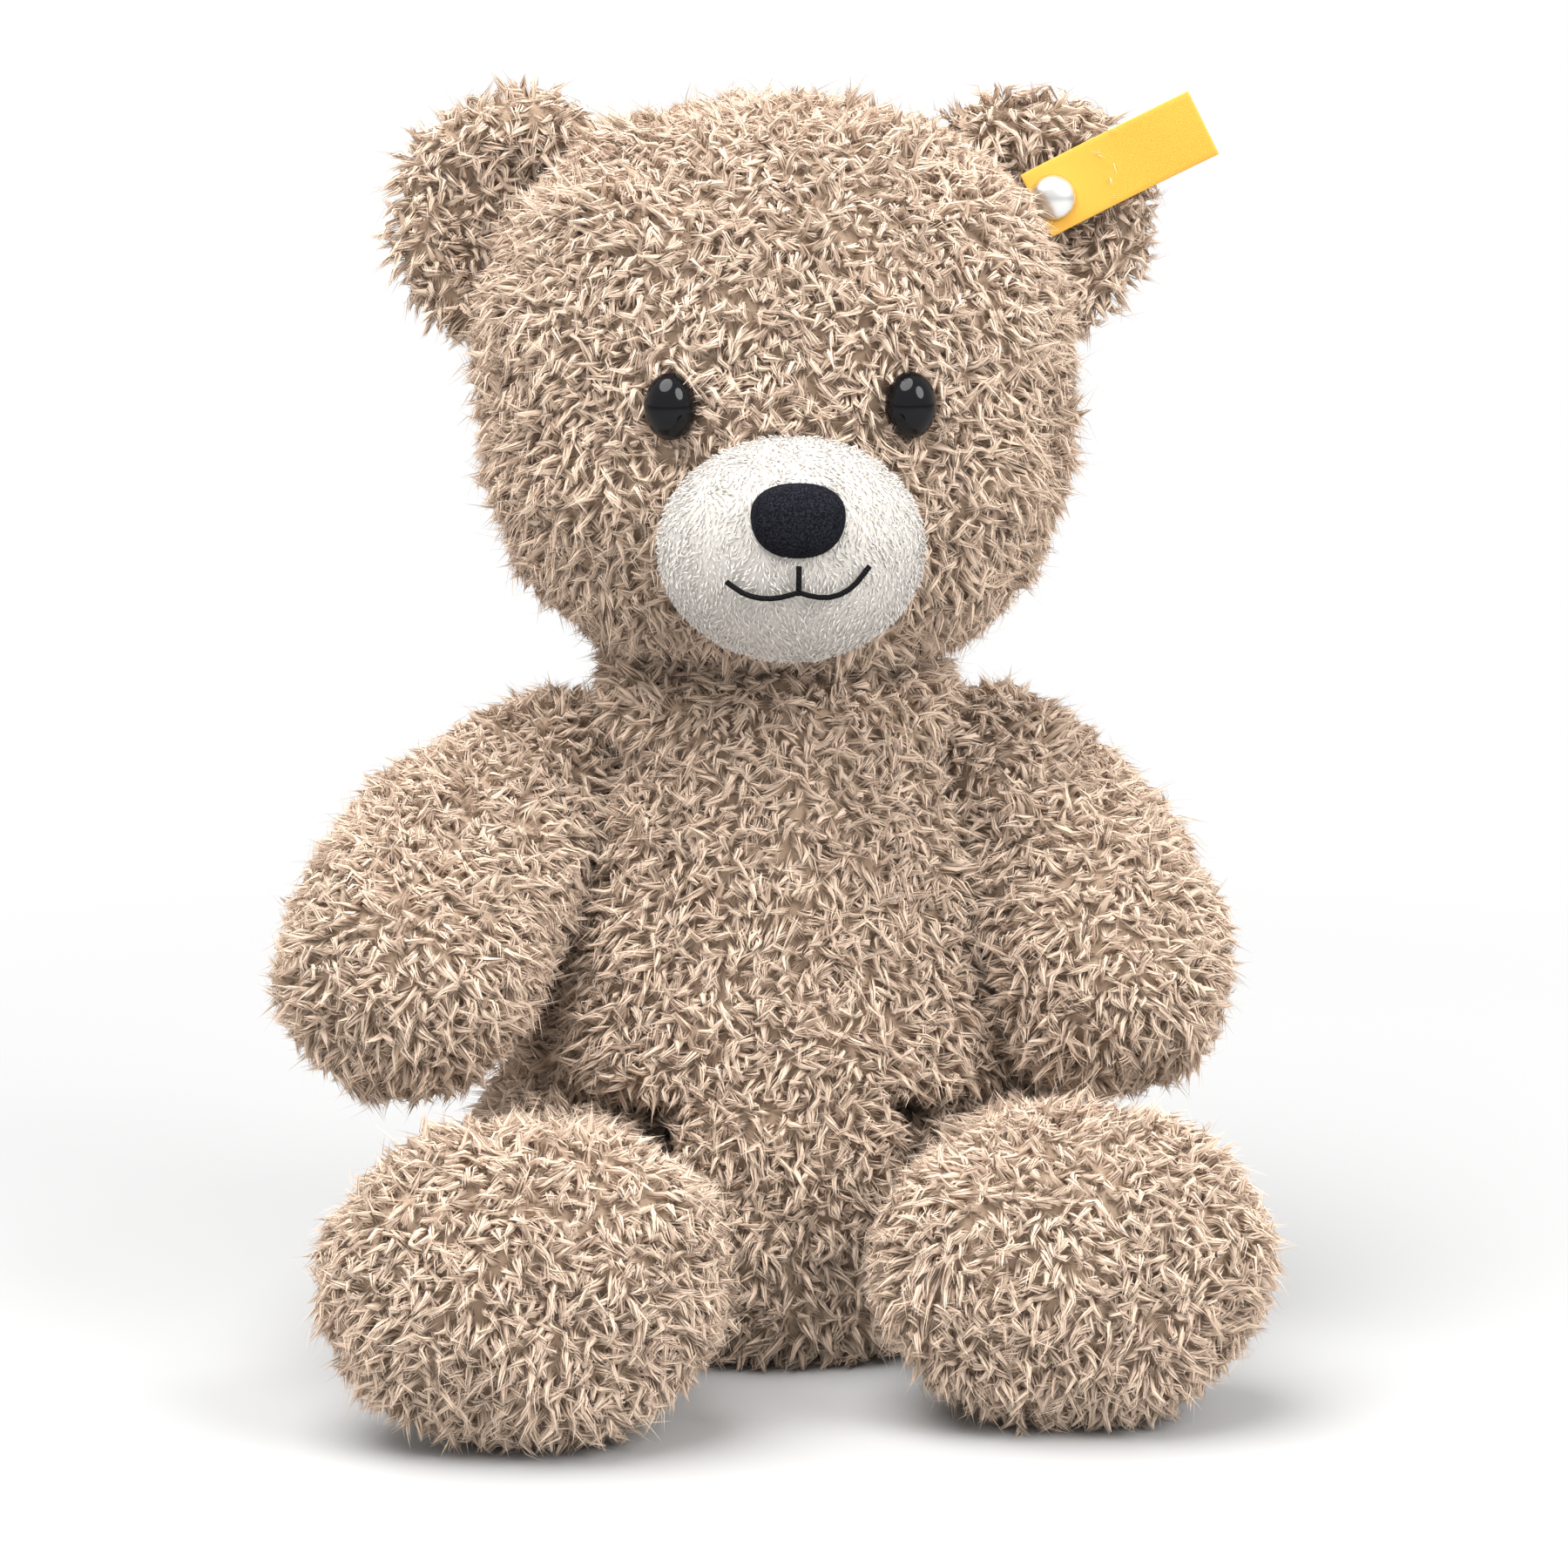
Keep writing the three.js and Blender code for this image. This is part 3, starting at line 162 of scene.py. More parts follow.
# The torso cover is a bag of curly pile cloth over its stuffing. The pile's backing follows the
# stuffing, and the locks stand on it: each is a dozen flat fibres that spread at the root, lean
# over, twist round each other and meet at the tip.
def stuffed_backing(name, stuffing, grain, shrink=0.0, lumps=0.0):
    """The cloth under the pile: the stuffing's form on an even grid, softened, with low lumps."""
    weld_gap, lowest = 0.02 * millimetre, 0.3 * millimetre
    lump_size = 30 * millimetre
    bpy.ops.object.select_all(action="DESELECT")
    for node in stuffing:
        source = frame["nodes"][node]
        source.select_set(True)
        bpy.context.view_layer.objects.active = source
    bpy.ops.object.duplicate()
    backing = bpy.context.view_layer.objects.active
    if len(stuffing) > 1:
        bpy.ops.object.join()
    backing.parent = None
    backing.name = name
    backing.data.name = name
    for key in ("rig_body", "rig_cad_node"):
        del backing[key]
    bpy.ops.object.mode_set(mode="EDIT")
    bpy.ops.mesh.select_all(action="SELECT")
    bpy.ops.mesh.remove_doubles(threshold=weld_gap)
    bpy.ops.object.mode_set(mode="OBJECT")
    backing.data.materials.clear()
    remesh = backing.modifiers.new("even_grid", "REMESH")
    remesh.mode = "VOXEL"
    remesh.voxel_size = grain
    bpy.ops.object.modifier_apply(modifier=remesh.name)
    soften = backing.modifiers.new("soft_edges", "SMOOTH")
    soften.factor = 0.5
    soften.iterations = 4
    bpy.ops.object.modifier_apply(modifier=soften.name)
    bpy.ops.object.shade_smooth()
    places = places_of(backing)
    outward = normals_of(backing)
    moved = places + outward * (lumps * ripple(places, lump_size, 11)[:, None] - shrink)
    moved[:, 2] = np.maximum(moved[:, 2], lowest)
    backing.data.vertices.foreach_set("co", moved.ravel())
    backing.data.update()
    return backing


def places_of(piece):
    places = np.empty(len(piece.data.vertices) * 3)
    piece.data.vertices.foreach_get("co", places)
    return places.reshape(-1, 3)


def normals_of(piece):
    outward = np.empty(len(piece.data.vertices) * 3)
    piece.data.vertices.foreach_get("normal", outward)
    return outward.reshape(-1, 3)


def ripple(places, wavelength, seed):
    """A smooth random value from about -1 to 1 that changes over about a wavelength."""
    waves, usual_sum = 7, 2.6
    finest, coarsest = 1.5, 0.7
    chance = np.random.default_rng(seed)
    total = np.zeros(len(places))
    for _ in range(waves):
        heading = chance.normal(size=3)
        heading *= chance.uniform(coarsest, finest) * 2 * math.pi / wavelength / np.linalg.norm(heading)
        total += np.sin(places @ heading + chance.uniform(0, 2 * math.pi))
    return total / usual_sum


def roots_on(backing, spacing, seed):
    """Points spread evenly over a backing, none nearer than the spacing, with their normals."""
    tries_per_root = 3
    chance = np.random.default_rng(seed)
    mesh = backing.data
    mesh.calc_loop_triangles()
    corners = np.empty(len(mesh.loop_triangles) * 3, np.int64)
    mesh.loop_triangles.foreach_get("vertices", corners)
    corners = corners.reshape(-1, 3)
    places, outward = places_of(backing)[corners], normals_of(backing)[corners]
    area = np.linalg.norm(np.cross(places[:, 1] - places[:, 0], places[:, 2] - places[:, 0]), axis=1)
    count = int(tries_per_root * area.sum() / 2 / spacing ** 2)
    face = chance.choice(len(corners), count, p=area / area.sum())
    a, b = chance.random((2, count))
    over = a + b > 1
    a[over], b[over] = 1 - a[over], 1 - b[over]
    weight = np.stack([1 - a - b, a, b], axis=1)[:, :, None]
    point = (places[face] * weight).sum(axis=1)
    normal = (outward[face] * weight).sum(axis=1)
    near = KDTree(count)
    for i, place in enumerate(point):
        near.insert(place, i)
    near.balance()
    free = np.ones(count, bool)
    kept = []
    for i in range(count):
        if free[i]:
            kept.append(i)
            for _, j, _ in near.find_range(point[i], spacing):
                free[j] = False
    normal = normal[kept]
    return point[kept], normal / np.linalg.norm(normal, axis=1)[:, None]


def tree_of(node):
    mesh = frame["nodes"][node].data
    return BVHTree.FromPolygons([v.co for v in mesh.vertices], [p.vertices for p in mesh.polygons])


def clear_of(points, neighbours, room):
    """Which points lie further than room from the neighbours."""
    free = np.ones(len(points), bool)
    for node in neighbours:
        tree = tree_of(node)
        for i in np.flatnonzero(free):
            free[i] = tree.find_nearest(Vector(points[i]), room)[0] is None
    return free


def headroom(points, outward, neighbours, most):
    """How far a lock can rise from each root before it meets a neighbour, at most a length."""
    space = np.full(len(points), most)
    for node in neighbours:
        tree = tree_of(node)
        for i, (point, heading) in enumerate(zip(points, outward)):
            distance = tree.ray_cast(Vector(point), Vector(heading), most)[3]
            if distance is not None:
                space[i] = min(space[i], distance)
    return space


def locks_on(name, point, normal, space, look, seed):
    """The locks as one mesh of flat fibres, which stand round each lock and meet at its tip."""
    steps = np.array([0, 0.55, 1.0])
    girth = np.array([0.9, 1.1, 0])
    nearly_down, curl_power, tiny = np.array([0.001, 0, -1.0]), 1.4, 1e-9
    length_range, length_drift = (0.72, 1.18), 0.12
    lean_spread = (0.18, 0.4)
    twist_range, away_range = (1.0, 2.8), (0.2, 1.2)
    stretch_range, width_range = (0.72, 1.1), (0.7, 1.25)
    stray_width, stray_stretch = 0.35, 1.45
    small_patch, patch, large_patch = 12 * millimetre, 20 * millimetre, 50 * millimetre
    usual_tone, patch_tone, large_tone, lock_tone, strand_tone = 0.5, 0.16, 0.1, 0.13, 0.1
    darkest, lightest, edge_tone = 0.04, 0.96, 0.03
    root_height, tip_height = 0.02, 0.98
    lowest = 0.2 * millimetre
    chance = np.random.default_rng(seed)
    count, strands = len(point), look["strands"]
    down = nearly_down + normal * normal[:, 2:3]
    down /= np.linalg.norm(down, axis=1)[:, None]
    across = np.cross(normal, down)
    combed = look["combing"] * ripple(point, look["patch"], seed + 1)
    heading = combed + chance.normal(0, look["scatter"], count)
    along = np.cos(heading)[:, None] * down + np.sin(heading)[:, None] * across
    beside = np.cross(normal, along)
    length = look["length"] * chance.uniform(*length_range, count)
    length *= 1 + length_drift * ripple(point, patch, seed + 4)
    length = np.minimum(length, space * look["fill"])
    lean = [chance.normal(usual, spread, count) for usual, spread in zip(look["lean"], lean_spread)]
    curl = chance.normal(0, look["curl"], count)
    turn = chance.uniform(*twist_range, count) * chance.choice([-1, 1], count)
    tone = usual_tone + patch_tone * ripple(point, small_patch, seed + 2)
    tone += large_tone * ripple(point, large_patch, seed + 3)
    tone += chance.normal(0, lock_tone, count)
    swing = chance.uniform(0, 2 * math.pi, (count, 1)) + np.arange(strands) * 2 * math.pi / strands
    away = look["spread"] * chance.uniform(*away_range, (count, strands))
    stretch = chance.uniform(*stretch_range, (count, strands))
    width = look["width"] * chance.uniform(*width_range, (count, strands))
    stray = chance.random((count, strands)) < look["strays"]
    width[stray] *= stray_width
    stretch[stray] *= stray_stretch
    shade = tone[:, None] + chance.normal(0, strand_tone, (count, strands))
    shade = np.clip(shade, darkest, lightest)

    rings, texture = [], []
    travelled = np.zeros((count, 3))
    last = 0.0
    for step, thick in zip(steps, girth):
        middle = (last + step) / 2
        angle = lean[0] + (lean[1] - lean[0]) * middle
        bend = curl * middle ** curl_power
        flat = np.cos(bend)[:, None] * along + np.sin(bend)[:, None] * beside
        course = np.cos(angle)[:, None] * normal + np.sin(angle)[:, None] * flat
        travelled = travelled + (step - last) * length[:, None] * course
        side = np.cross(course, normal)
        side /= np.linalg.norm(side, axis=1)[:, None] + tiny
        upper = np.cross(side, course)
        around = swing + turn[:, None] * step
        outward = np.cos(around)[..., None] * side[:, None] + np.sin(around)[..., None] * upper[:, None]
        edge = -np.sin(around)[..., None] * side[:, None] + np.cos(around)[..., None] * upper[:, None]
        gather = away * (1 - look["gather"] * step)
        centre = (point[:, None] + travelled[:, None] * stretch[..., None] + outward * gather[..., None]
                  - normal[:, None] * look["sunk"] * (1 - step))
        half = (width * thick / 2)[..., None]
        rings += [centre] if step == 1 else [centre - edge * half, centre + edge * half]
        height = np.full_like(shade, root_height + (tip_height - root_height) * step)
        texture += [np.stack([shade + offset, height], axis=-1)
                    for offset in ([0] if step == 1 else [-edge_tone, edge_tone])]
        last = step
    per_strand = len(rings)
    vertices = np.stack(rings, axis=2).reshape(-1, 3)
    texture = np.stack(texture, axis=2).reshape(-1, 2)
    vertices[:, 2] = np.maximum(vertices[:, 2], lowest)
    triangles = np.array([t for r in range(0, per_strand - 3, 2)
                          for t in ((r, r + 1, r + 3), (r, r + 3, r + 2))]
                         + [(per_strand - 3, per_strand - 2, per_strand - 1)])
    corners = (triangles[None] + np.arange(count * strands)[:, None, None] * per_strand).reshape(-1)
    mesh = bpy.data.meshes.new(name)
    mesh.vertices.add(len(vertices))
    mesh.vertices.foreach_set("co", vertices.ravel())
    mesh.loops.add(len(corners))
    mesh.loops.foreach_set("vertex_index", corners)
    mesh.polygons.add(len(corners) // 3)
    mesh.polygons.foreach_set("loop_start", np.arange(0, len(corners), 3))
    mesh.polygons.foreach_set("use_smooth", np.ones(len(corners) // 3, bool))
    mesh.update(calc_edges=True)
    layer = mesh.uv_layers.new(name="OFBake")
    layer.data.foreach_set("uv", texture[corners].ravel())
    locks = bpy.data.objects.new(name, mesh)
    bpy.context.collection.objects.link(locks)
    return locks


def backed(backing, locks, finish):
    """Joins locks to their backing, which takes the dark root end of the pile's colours, the painted
    shade under the locks.
    """
    usual_tone, patch_tone, patch = 0.4, 0.15, 4 * millimetre
    darkest, lightest, foot = 0.03, 0.97, 0.01
    mesh = backing.data
    layer = mesh.uv_layers.new(name="OFBake")
    corners = np.empty(len(mesh.loops), np.int64)
    mesh.loops.foreach_get("vertex_index", corners)
    tone = usual_tone + patch_tone * ripple(places_of(backing), patch, 5)
    tone = np.clip(tone, darkest, lightest)
    # The backing's map sits at the root end of the ramp, so it carries the painted shade.
    layer.data.foreach_set("uv", np.stack([tone, np.full_like(tone, foot)], axis=1)[corners].ravel())
    bpy.ops.object.select_all(action="DESELECT")
    locks.select_set(True)
    backing.select_set(True)
    bpy.context.view_layer.objects.active = backing
    bpy.ops.object.join()
    backing.data.materials.clear()
    backing.data.materials.append(finish)
    return backing


def pile_finish(name, shaded_roots, middles, highlit_tips, contrast, roughness, sheen):
    """Pile cloth. Across the map is the lock's own tone, dark to light, and up it is root to tip. The
    dark root colour is painted shade deep in the pile, and the lighter tip colour, which runs on
    towards white at the very end, is a painted highlight.
    """
    middle_place, tip_place = 0.5, 0.95
    sheen_roughness, shine = 0.5, 0.25
    streak_scale, streak_draw = 90, 0.02
    streak_noise, streak_strength = (0.3, 0.7), (0.86, 1.12)
    material, nodes, links, surface = new_finish(name)
    surface.inputs["Roughness"].default_value = roughness
    surface.inputs["Sheen Weight"].default_value = sheen
    surface.inputs["Sheen Roughness"].default_value = sheen_roughness
    surface.inputs["Specular IOR Level"].default_value = shine
    where = nodes.new("ShaderNodeUVMap")
    where.uv_map = "OFBake"
    split = nodes.new("ShaderNodeSeparateXYZ")
    links.new(where.outputs[0], split.inputs[0])
    ramp = nodes.new("ShaderNodeValToRGB")
    # The root colour paints the shade deep in the pile; the tip colour and the white stop past it paint
    # a highlight on the lock tips.
    ramp.color_ramp.elements[0].color = (*shaded_roots, 1)
    ramp.color_ramp.elements[1].color = (1, 1, 1, 1)
    ramp.color_ramp.elements.new(middle_place).color = (*middles, 1)
    ramp.color_ramp.elements.new(tip_place).color = (*highlit_tips, 1)
    links.new(split.outputs["Y"], ramp.inputs[0])
    strength = nodes.new("ShaderNodeMapRange")
    strength.inputs["To Min"].default_value = 1 - contrast
    strength.inputs["To Max"].default_value = 1 + contrast
    links.new(split.outputs["X"], strength.inputs["Value"])
    streaks = nodes.new("ShaderNodeTexNoise")
    streaks.inputs["Scale"].default_value = streak_scale
    streaks.inputs["Detail"].default_value = 1
    squeeze = nodes.new("ShaderNodeMapping")
    squeeze.inputs["Scale"].default_value = (1, streak_draw, 1)
    links.new(where.outputs[0], squeeze.inputs[0])
    links.new(squeeze.outputs[0], streaks.inputs["Vector"])
    fibre = nodes.new("ShaderNodeMapRange")
    fibre.inputs["From Min"].default_value, fibre.inputs["From Max"].default_value = streak_noise
    fibre.inputs["To Min"].default_value, fibre.inputs["To Max"].default_value = streak_strength
    links.new(streaks.outputs["Fac"], fibre.inputs["Value"])
    both = nodes.new("ShaderNodeMath")
    both.operation = "MULTIPLY"
    links.new(strength.outputs[0], both.inputs[0])
    links.new(fibre.outputs[0], both.inputs[1])
    colour = nodes.new("ShaderNodeVectorMath")
    colour.operation = "SCALE"
    links.new(ramp.outputs["Color"], colour.inputs[0])
    links.new(both.outputs[0], colour.inputs["Scale"])
    links.new(colour.outputs[0], surface.inputs["Base Color"])
    return material


def plush(name, stuffing, neighbours, keep_out, seed, shrink=-0.9 * millimetre, swell=None, wall=None):
    """A stuffed piece of the curly cloth: its backing, and locks wherever a seam leaves room."""
    grain, lumps, least_room = 2 * millimetre, 0.7 * millimetre, 1.2 * millimetre
    wall_room, least_slope = 2 * millimetre, 0.05
    backing = stuffed_backing(name, stuffing, grain, shrink, lumps)
    if swell:
        backing.data.vertices.foreach_set("co", swell(places_of(backing)).ravel())
        backing.data.update()
    point, normal = roots_on(backing, lock_spacing, seed)
    space = headroom(point, normal, neighbours, curly["length"])
    if wall:
        place, inward = wall
        gap = (place - point) @ inward
        slope = np.maximum(normal @ inward, least_slope)
        space = np.where(gap < wall_room, 0, np.minimum(space, gap / slope))
    free = space > least_room
    for node, room in keep_out:
        free &= clear_of(point, [node], room)
    locks = locks_on(name + "_locks", point[free], normal[free], space[free], curly, seed + 1)
    return backed(backing, locks, curly_pile)


# The first colour is painted shade at the roots and on the backing, and the last is a painted highlight
# at the tips. The middle one is the cloth's own colour.
curly_pile = pile_finish("curly_pile", (0.4, 0.29, 0.205), (0.63, 0.488, 0.375), (0.66, 0.523, 0.412),
                         contrast=0.1, roughness=0.8, sheen=0.2)
curly = dict(length=6.0 * millimetre, lean=(0.3, 1.55), curl=1.2, spread=1.4 * millimetre, strands=12,
             width=0.44 * millimetre, gather=0.7, combing=0.6, patch=20 * millimetre, scatter=1.3,
             strays=0.15, sunk=0.5 * millimetre, fill=1.6)
lock_spacing = 1.34 * millimetre


def torso_swell(places):
    """Fills the dip by the neck seam, lowers the belly's edge and broadens the seat behind."""
    shoulder_height, shoulder_side, shoulder_fade = 0.121, 0.012, 0.01
    shoulder_out, shoulder_down = 9 * millimetre, 2 * millimetre
    crease_height, crease_half, crease_side, crease_down = 0.062, 0.006, 0.014, 4.5 * millimetre
    seat_height, seat_fade, back_fade, seat_growth = 0.05, 0.025, 0.02, 0.55
    beside, back, up = np.abs(places[:, 0]), places[:, 1], places[:, 2]
    shoulder = np.clip((up - shoulder_height) / shoulder_fade, 0, 1)
    shoulder *= np.clip((beside - shoulder_side) / shoulder_fade, 0, 1)
    crease = (np.abs(up - crease_height) < crease_half) & (beside > crease_side)
    seat = np.clip((seat_height - up) / seat_fade, 0, 1) * np.clip(back / back_fade, 0, 1)
    moved = places.copy()
    moved[:, 0] += np.sign(places[:, 0]) * shoulder * shoulder_out
    moved[:, 0] *= 1 + seat_growth * seat
    moved[:, 2] -= shoulder * shoulder_down + crease * crease_down
    return moved


torso_plush = plush("torso_plush", ["torso_filling"],
                    ["head_filling", "left_arm_filling", "right_arm_filling", "left_leg_filling",
                     "right_leg_filling"],
                    [("flap_pad", 1.2 * millimetre), ("light_pouch", 1.5 * millimetre)],
                    21, swell=torso_swell)
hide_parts("torso_cover", "torso_filling")
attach(torso_plush, "torso")


# The head is the largest ball of the bear, sewn to the neck. The same cloth covers it, and its
# locks part around the muzzle and the eyes.
head_plush = plush("head_plush", ["head_filling"], ["torso_filling"],
                   [("muzzle", 1.0 * millimetre), ("left_eye", 1.3 * millimetre),
                    ("right_eye", 1.3 * millimetre)], 31)
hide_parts("head_cover", "head_filling")
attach(head_plush, "head")


# Each ear is two layers of the cloth, sewn into the head's seam and pushed in at the front.
for side, seed in (("left", 41), ("right", 44)):
    ear = plush(side + "_ear_plush", [side + "_ear"], ["ear_tag"], [("head_filling", 0.8 * millimetre)],
                seed, shrink=1.8 * millimetre)
    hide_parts(side + "_ear")
    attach(ear, "head")


# The arms are stuffed tubes of the same cloth that swell to a round paw, sewn on at the shoulders.
seam_side, seam_height, seam_slope = 31, 114, math.radians(15.5)
for side, seed in (("left", 51), ("right", 54)):
    sign = 1 if side == "left" else -1
    seam = np.array((sign * seam_side, 0, seam_height)) * millimetre
    inward = -np.array((sign * math.cos(seam_slope), 0, math.sin(seam_slope)))
    arm = plush(side + "_arm_plush", [side + "_arm_filling"], ["torso_filling"], [], seed,
                wall=(seam, inward))
    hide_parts(side + "_arm_cover", side + "_arm_filling")
    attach(arm, side + "_arm")


# The legs are thicker tubes, sewn on at the hips, and end in a big round foot.
def thigh_swell(places):
    """Lifts the top of the thigh to the belly."""
    thigh_height, height_fade = 0.035, 0.012
    thigh_front, front_fade = -0.065, 0.015
    rise = 3.5 * millimetre
    lift = np.clip((places[:, 2] - thigh_height) / height_fade, 0, 1)
    lift *= np.clip((places[:, 1] - thigh_front) / front_fade, 0, 1)
    return places + lift[:, None] * np.array((0, 0, rise))


for side, seed in (("left", 61), ("right", 64)):
    leg = plush(side + "_leg_plush", [side + "_leg_filling"], ["torso_filling"], [], seed,
                swell=thigh_swell)
    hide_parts(side + "_leg_cover", side + "_foot_cover", side + "_leg_filling")
    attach(leg, side + "_leg")


# The muzzle is a pad of cream cloth with a short nap, brushed outwards from the nose.
# The first colour is painted shade at the roots and on the backing, and the last is a painted highlight
# at the tips. The middle one is the cream cloth's own colour.
cream_nap = pile_finish("cream_nap", (0.5, 0.47, 0.43), (0.63, 0.6, 0.565), (0.69, 0.665, 0.635),
                        contrast=0.04, roughness=0.85, sheen=0.2)
nap = dict(length=1.7 * millimetre, lean=(1.0, 1.4), curl=0.4, spread=0.2 * millimetre, strands=3,
           width=0.24 * millimetre, gather=0.2, combing=0.9, patch=14 * millimetre, scatter=0.3,
           strays=0.0, sunk=0.1 * millimetre, fill=1)
muzzle_backing = stuffed_backing("muzzle_nap", ["muzzle"], 1.2 * millimetre, 0.4 * millimetre)
nap_spacing = 0.68 * millimetre
point, normal = roots_on(muzzle_backing, nap_spacing, 71)
front = clear_of(point, ["head_filling"], 2.0 * millimetre)
front &= clear_of(point, ["nose"], 0.5 * millimetre)
front &= clear_of(point, ["mouth_stitching"], 1.0 * millimetre)
point, normal = point[front], normal[front]
muzzle_locks = locks_on("muzzle_locks", point, normal, np.full(len(point), nap["length"]), nap, 72)
muzzle_nap = backed(muzzle_backing, muzzle_locks, cream_nap)
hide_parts("muzzle")
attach(muzzle_nap, "head")


# The nose is a small pad of black velvet, whose pile shows as a fine grain.
velvet, nodes, links, surface = new_finish("black_velvet")
surface.inputs["Roughness"].default_value = 0.9
surface.inputs["Specular IOR Level"].default_value = 0.05
where = nodes.new("ShaderNodeTexCoord")
pile = nodes.new("ShaderNodeTexNoise")
pile.inputs["Scale"].default_value = 2600
pile.inputs["Detail"].default_value = 2
links.new(where.outputs["Object"], pile.inputs["Vector"])
fleck = nodes.new("ShaderNodeValToRGB")
fleck.color_ramp.elements[0].position = 0.4
fleck.color_ramp.elements[0].color = (0.004, 0.004, 0.006, 1)
fleck.color_ramp.elements[1].position = 0.75
fleck.color_ramp.elements[1].color = (0.022, 0.023, 0.03, 1)
links.new(pile.outputs["Fac"], fleck.inputs[0])
links.new(fleck.outputs[0], surface.inputs["Base Color"])
grain = nodes.new("ShaderNodeBump")
grain.inputs["Strength"].default_value = 0.6
grain.inputs["Distance"].default_value = 0.2 * millimetre
links.new(pile.outputs["Fac"], grain.inputs["Height"])
links.new(grain.outputs[0], surface.inputs["Normal"])
bpy.ops.mesh.primitive_uv_sphere_add(segments=64, ring_count=32, radius=1)
nose = bpy.context.object
nose.name = "nose_pad"
places = places_of(nose)
squareness, taper = 2.3, 0.08
half = np.array((8.9, 5, 7.1)) * millimetre
places /= (np.abs(places) ** squareness).sum(axis=1)[:, None] ** (1 / squareness)
places[:, 0] *= 1 + taper * places[:, 2]
box = places_of(frame["nodes"]["nose"])
middle_height = (box[:, 2].max() + box[:, 2].min()) / 2
places = places * half + np.array((0, box[:, 1].min() + half[1], middle_height))
nose.data.vertices.foreach_set("co", places.ravel())
bpy.ops.object.shade_smooth()
nose.data.materials.append(velvet)
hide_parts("nose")
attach(nose, "head")


# The mouth is a line of black stitches, whose thread shows its twist.
thread, nodes, links, surface = new_finish("black_thread")
surface.inputs["Base Color"].default_value = (0.003, 0.003, 0.004, 1)
surface.inputs["Roughness"].default_value = 0.7
surface.inputs["Specular IOR Level"].default_value = 0.12
where = nodes.new("ShaderNodeTexCoord")
twist = nodes.new("ShaderNodeTexWave")
twist.bands_direction = "DIAGONAL"
twist.inputs["Scale"].default_value = 700
twist.inputs["Distortion"].default_value = 1
links.new(where.outputs["Object"], twist.inputs["Vector"])
ply = nodes.new("ShaderNodeBump")
ply.inputs["Strength"].default_value = 0.8
ply.inputs["Distance"].default_value = 0.2 * millimetre
links.new(twist.outputs["Fac"], ply.inputs["Height"])
links.new(ply.outputs[0], surface.inputs["Normal"])
frame["nodes"]["mouth_stitching"].data.materials.clear()
frame["nodes"]["mouth_stitching"].data.materials.append(thread)


# The eyes are domed ovals of polished black plastic on a shank, which a lock washer holds.
gloss, _, _, surface = new_finish("polished_black")
surface.inputs["Base Color"].default_value = (0.003, 0.003, 0.004, 1)
surface.inputs["Roughness"].default_value = 0.08
surface.inputs["Specular IOR Level"].default_value = 0.22


def domed_button(name, node, half, shank_radius, shank_depth, finish):
    """A half oval on a shank, in the place of a node that looks forward."""
    overlap, sharp_edge = 0.4 * millimetre, math.radians(40)
    places = places_of(frame["nodes"][node])
    middle = (places.max(axis=0) + places.min(axis=0)) / 2
    seat = places[:, 1].min() + half.y
    bpy.ops.mesh.primitive_uv_sphere_add(segments=64, ring_count=32, radius=1,
                                         location=(middle[0], seat, middle[2]))
    button = bpy.context.object
    button.name = name
    button.scale = half
    bpy.ops.object.transform_apply(location=True, rotation=False, scale=True)
    bpy.ops.object.mode_set(mode="EDIT")
    bpy.ops.mesh.select_all(action="SELECT")
    bpy.ops.mesh.bisect(plane_co=(0, seat, 0), plane_no=(0, 1, 0), use_fill=True, clear_outer=True)
    bpy.ops.object.mode_set(mode="OBJECT")
    shank_middle = seat + shank_depth / 2 - overlap
    bpy.ops.mesh.primitive_cylinder_add(vertices=32, radius=shank_radius, depth=shank_depth,
                                        location=(middle[0], shank_middle, middle[2]),
                                        rotation=(math.pi / 2, 0, 0))
    bpy.ops.object.transform_apply()
    button.select_set(True)
    bpy.context.view_layer.objects.active = button
    bpy.ops.object.join()
    bpy.ops.object.shade_smooth_by_angle(angle=sharp_edge)
    button.data.materials.clear()
    button.data.materials.append(finish)
    return button


for side in ("left", "right"):
    eye = domed_button(side + "_eye_dome", side + "_eye", Vector((5, 5, 6.5)) * millimetre,
                       1.5 * millimetre, 9.4 * millimetre, gloss)
    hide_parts(side + "_eye")
    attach(eye, "head")


# The tag is a strip of yellow woven ribbon, riveted to the left ear. Its free end bends forward.
ribbon, nodes, links, surface = new_finish("yellow_ribbon")
surface.inputs["Roughness"].default_value = 0.55
surface.inputs["Sheen Weight"].default_value = 0.15
where = nodes.new("ShaderNodeUVMap")
where.uv_map = "OFBake"
ribs = nodes.new("ShaderNodeTexWave")
ribs.bands_direction = "Y"
ribs.inputs["Scale"].default_value = 18
ribs.inputs["Distortion"].default_value = 0.6
links.new(where.outputs[0], ribs.inputs["Vector"])
weft = nodes.new("ShaderNodeTexWave")
weft.bands_direction = "X"
weft.inputs["Scale"].default_value = 40
links.new(where.outputs[0], weft.inputs["Vector"])
cloth = nodes.new("ShaderNodeMath")
cloth.operation = "ADD"
links.new(ribs.outputs["Fac"], cloth.inputs[0])
links.new(weft.outputs["Fac"], cloth.inputs[1])
dye = nodes.new("ShaderNodeValToRGB")
dye.color_ramp.elements[0].color = (0.64, 0.32, 0.02, 1)
dye.color_ramp.elements[1].color = (0.75, 0.42, 0.04, 1)
links.new(ribs.outputs["Fac"], dye.inputs[0])
links.new(dye.outputs[0], surface.inputs["Base Color"])
weave = nodes.new("ShaderNodeBump")
weave.inputs["Strength"].default_value = 0.35
weave.inputs["Distance"].default_value = 0.1 * millimetre
links.new(cloth.outputs[0], weave.inputs["Height"])
links.new(weave.outputs[0], surface.inputs["Normal"])

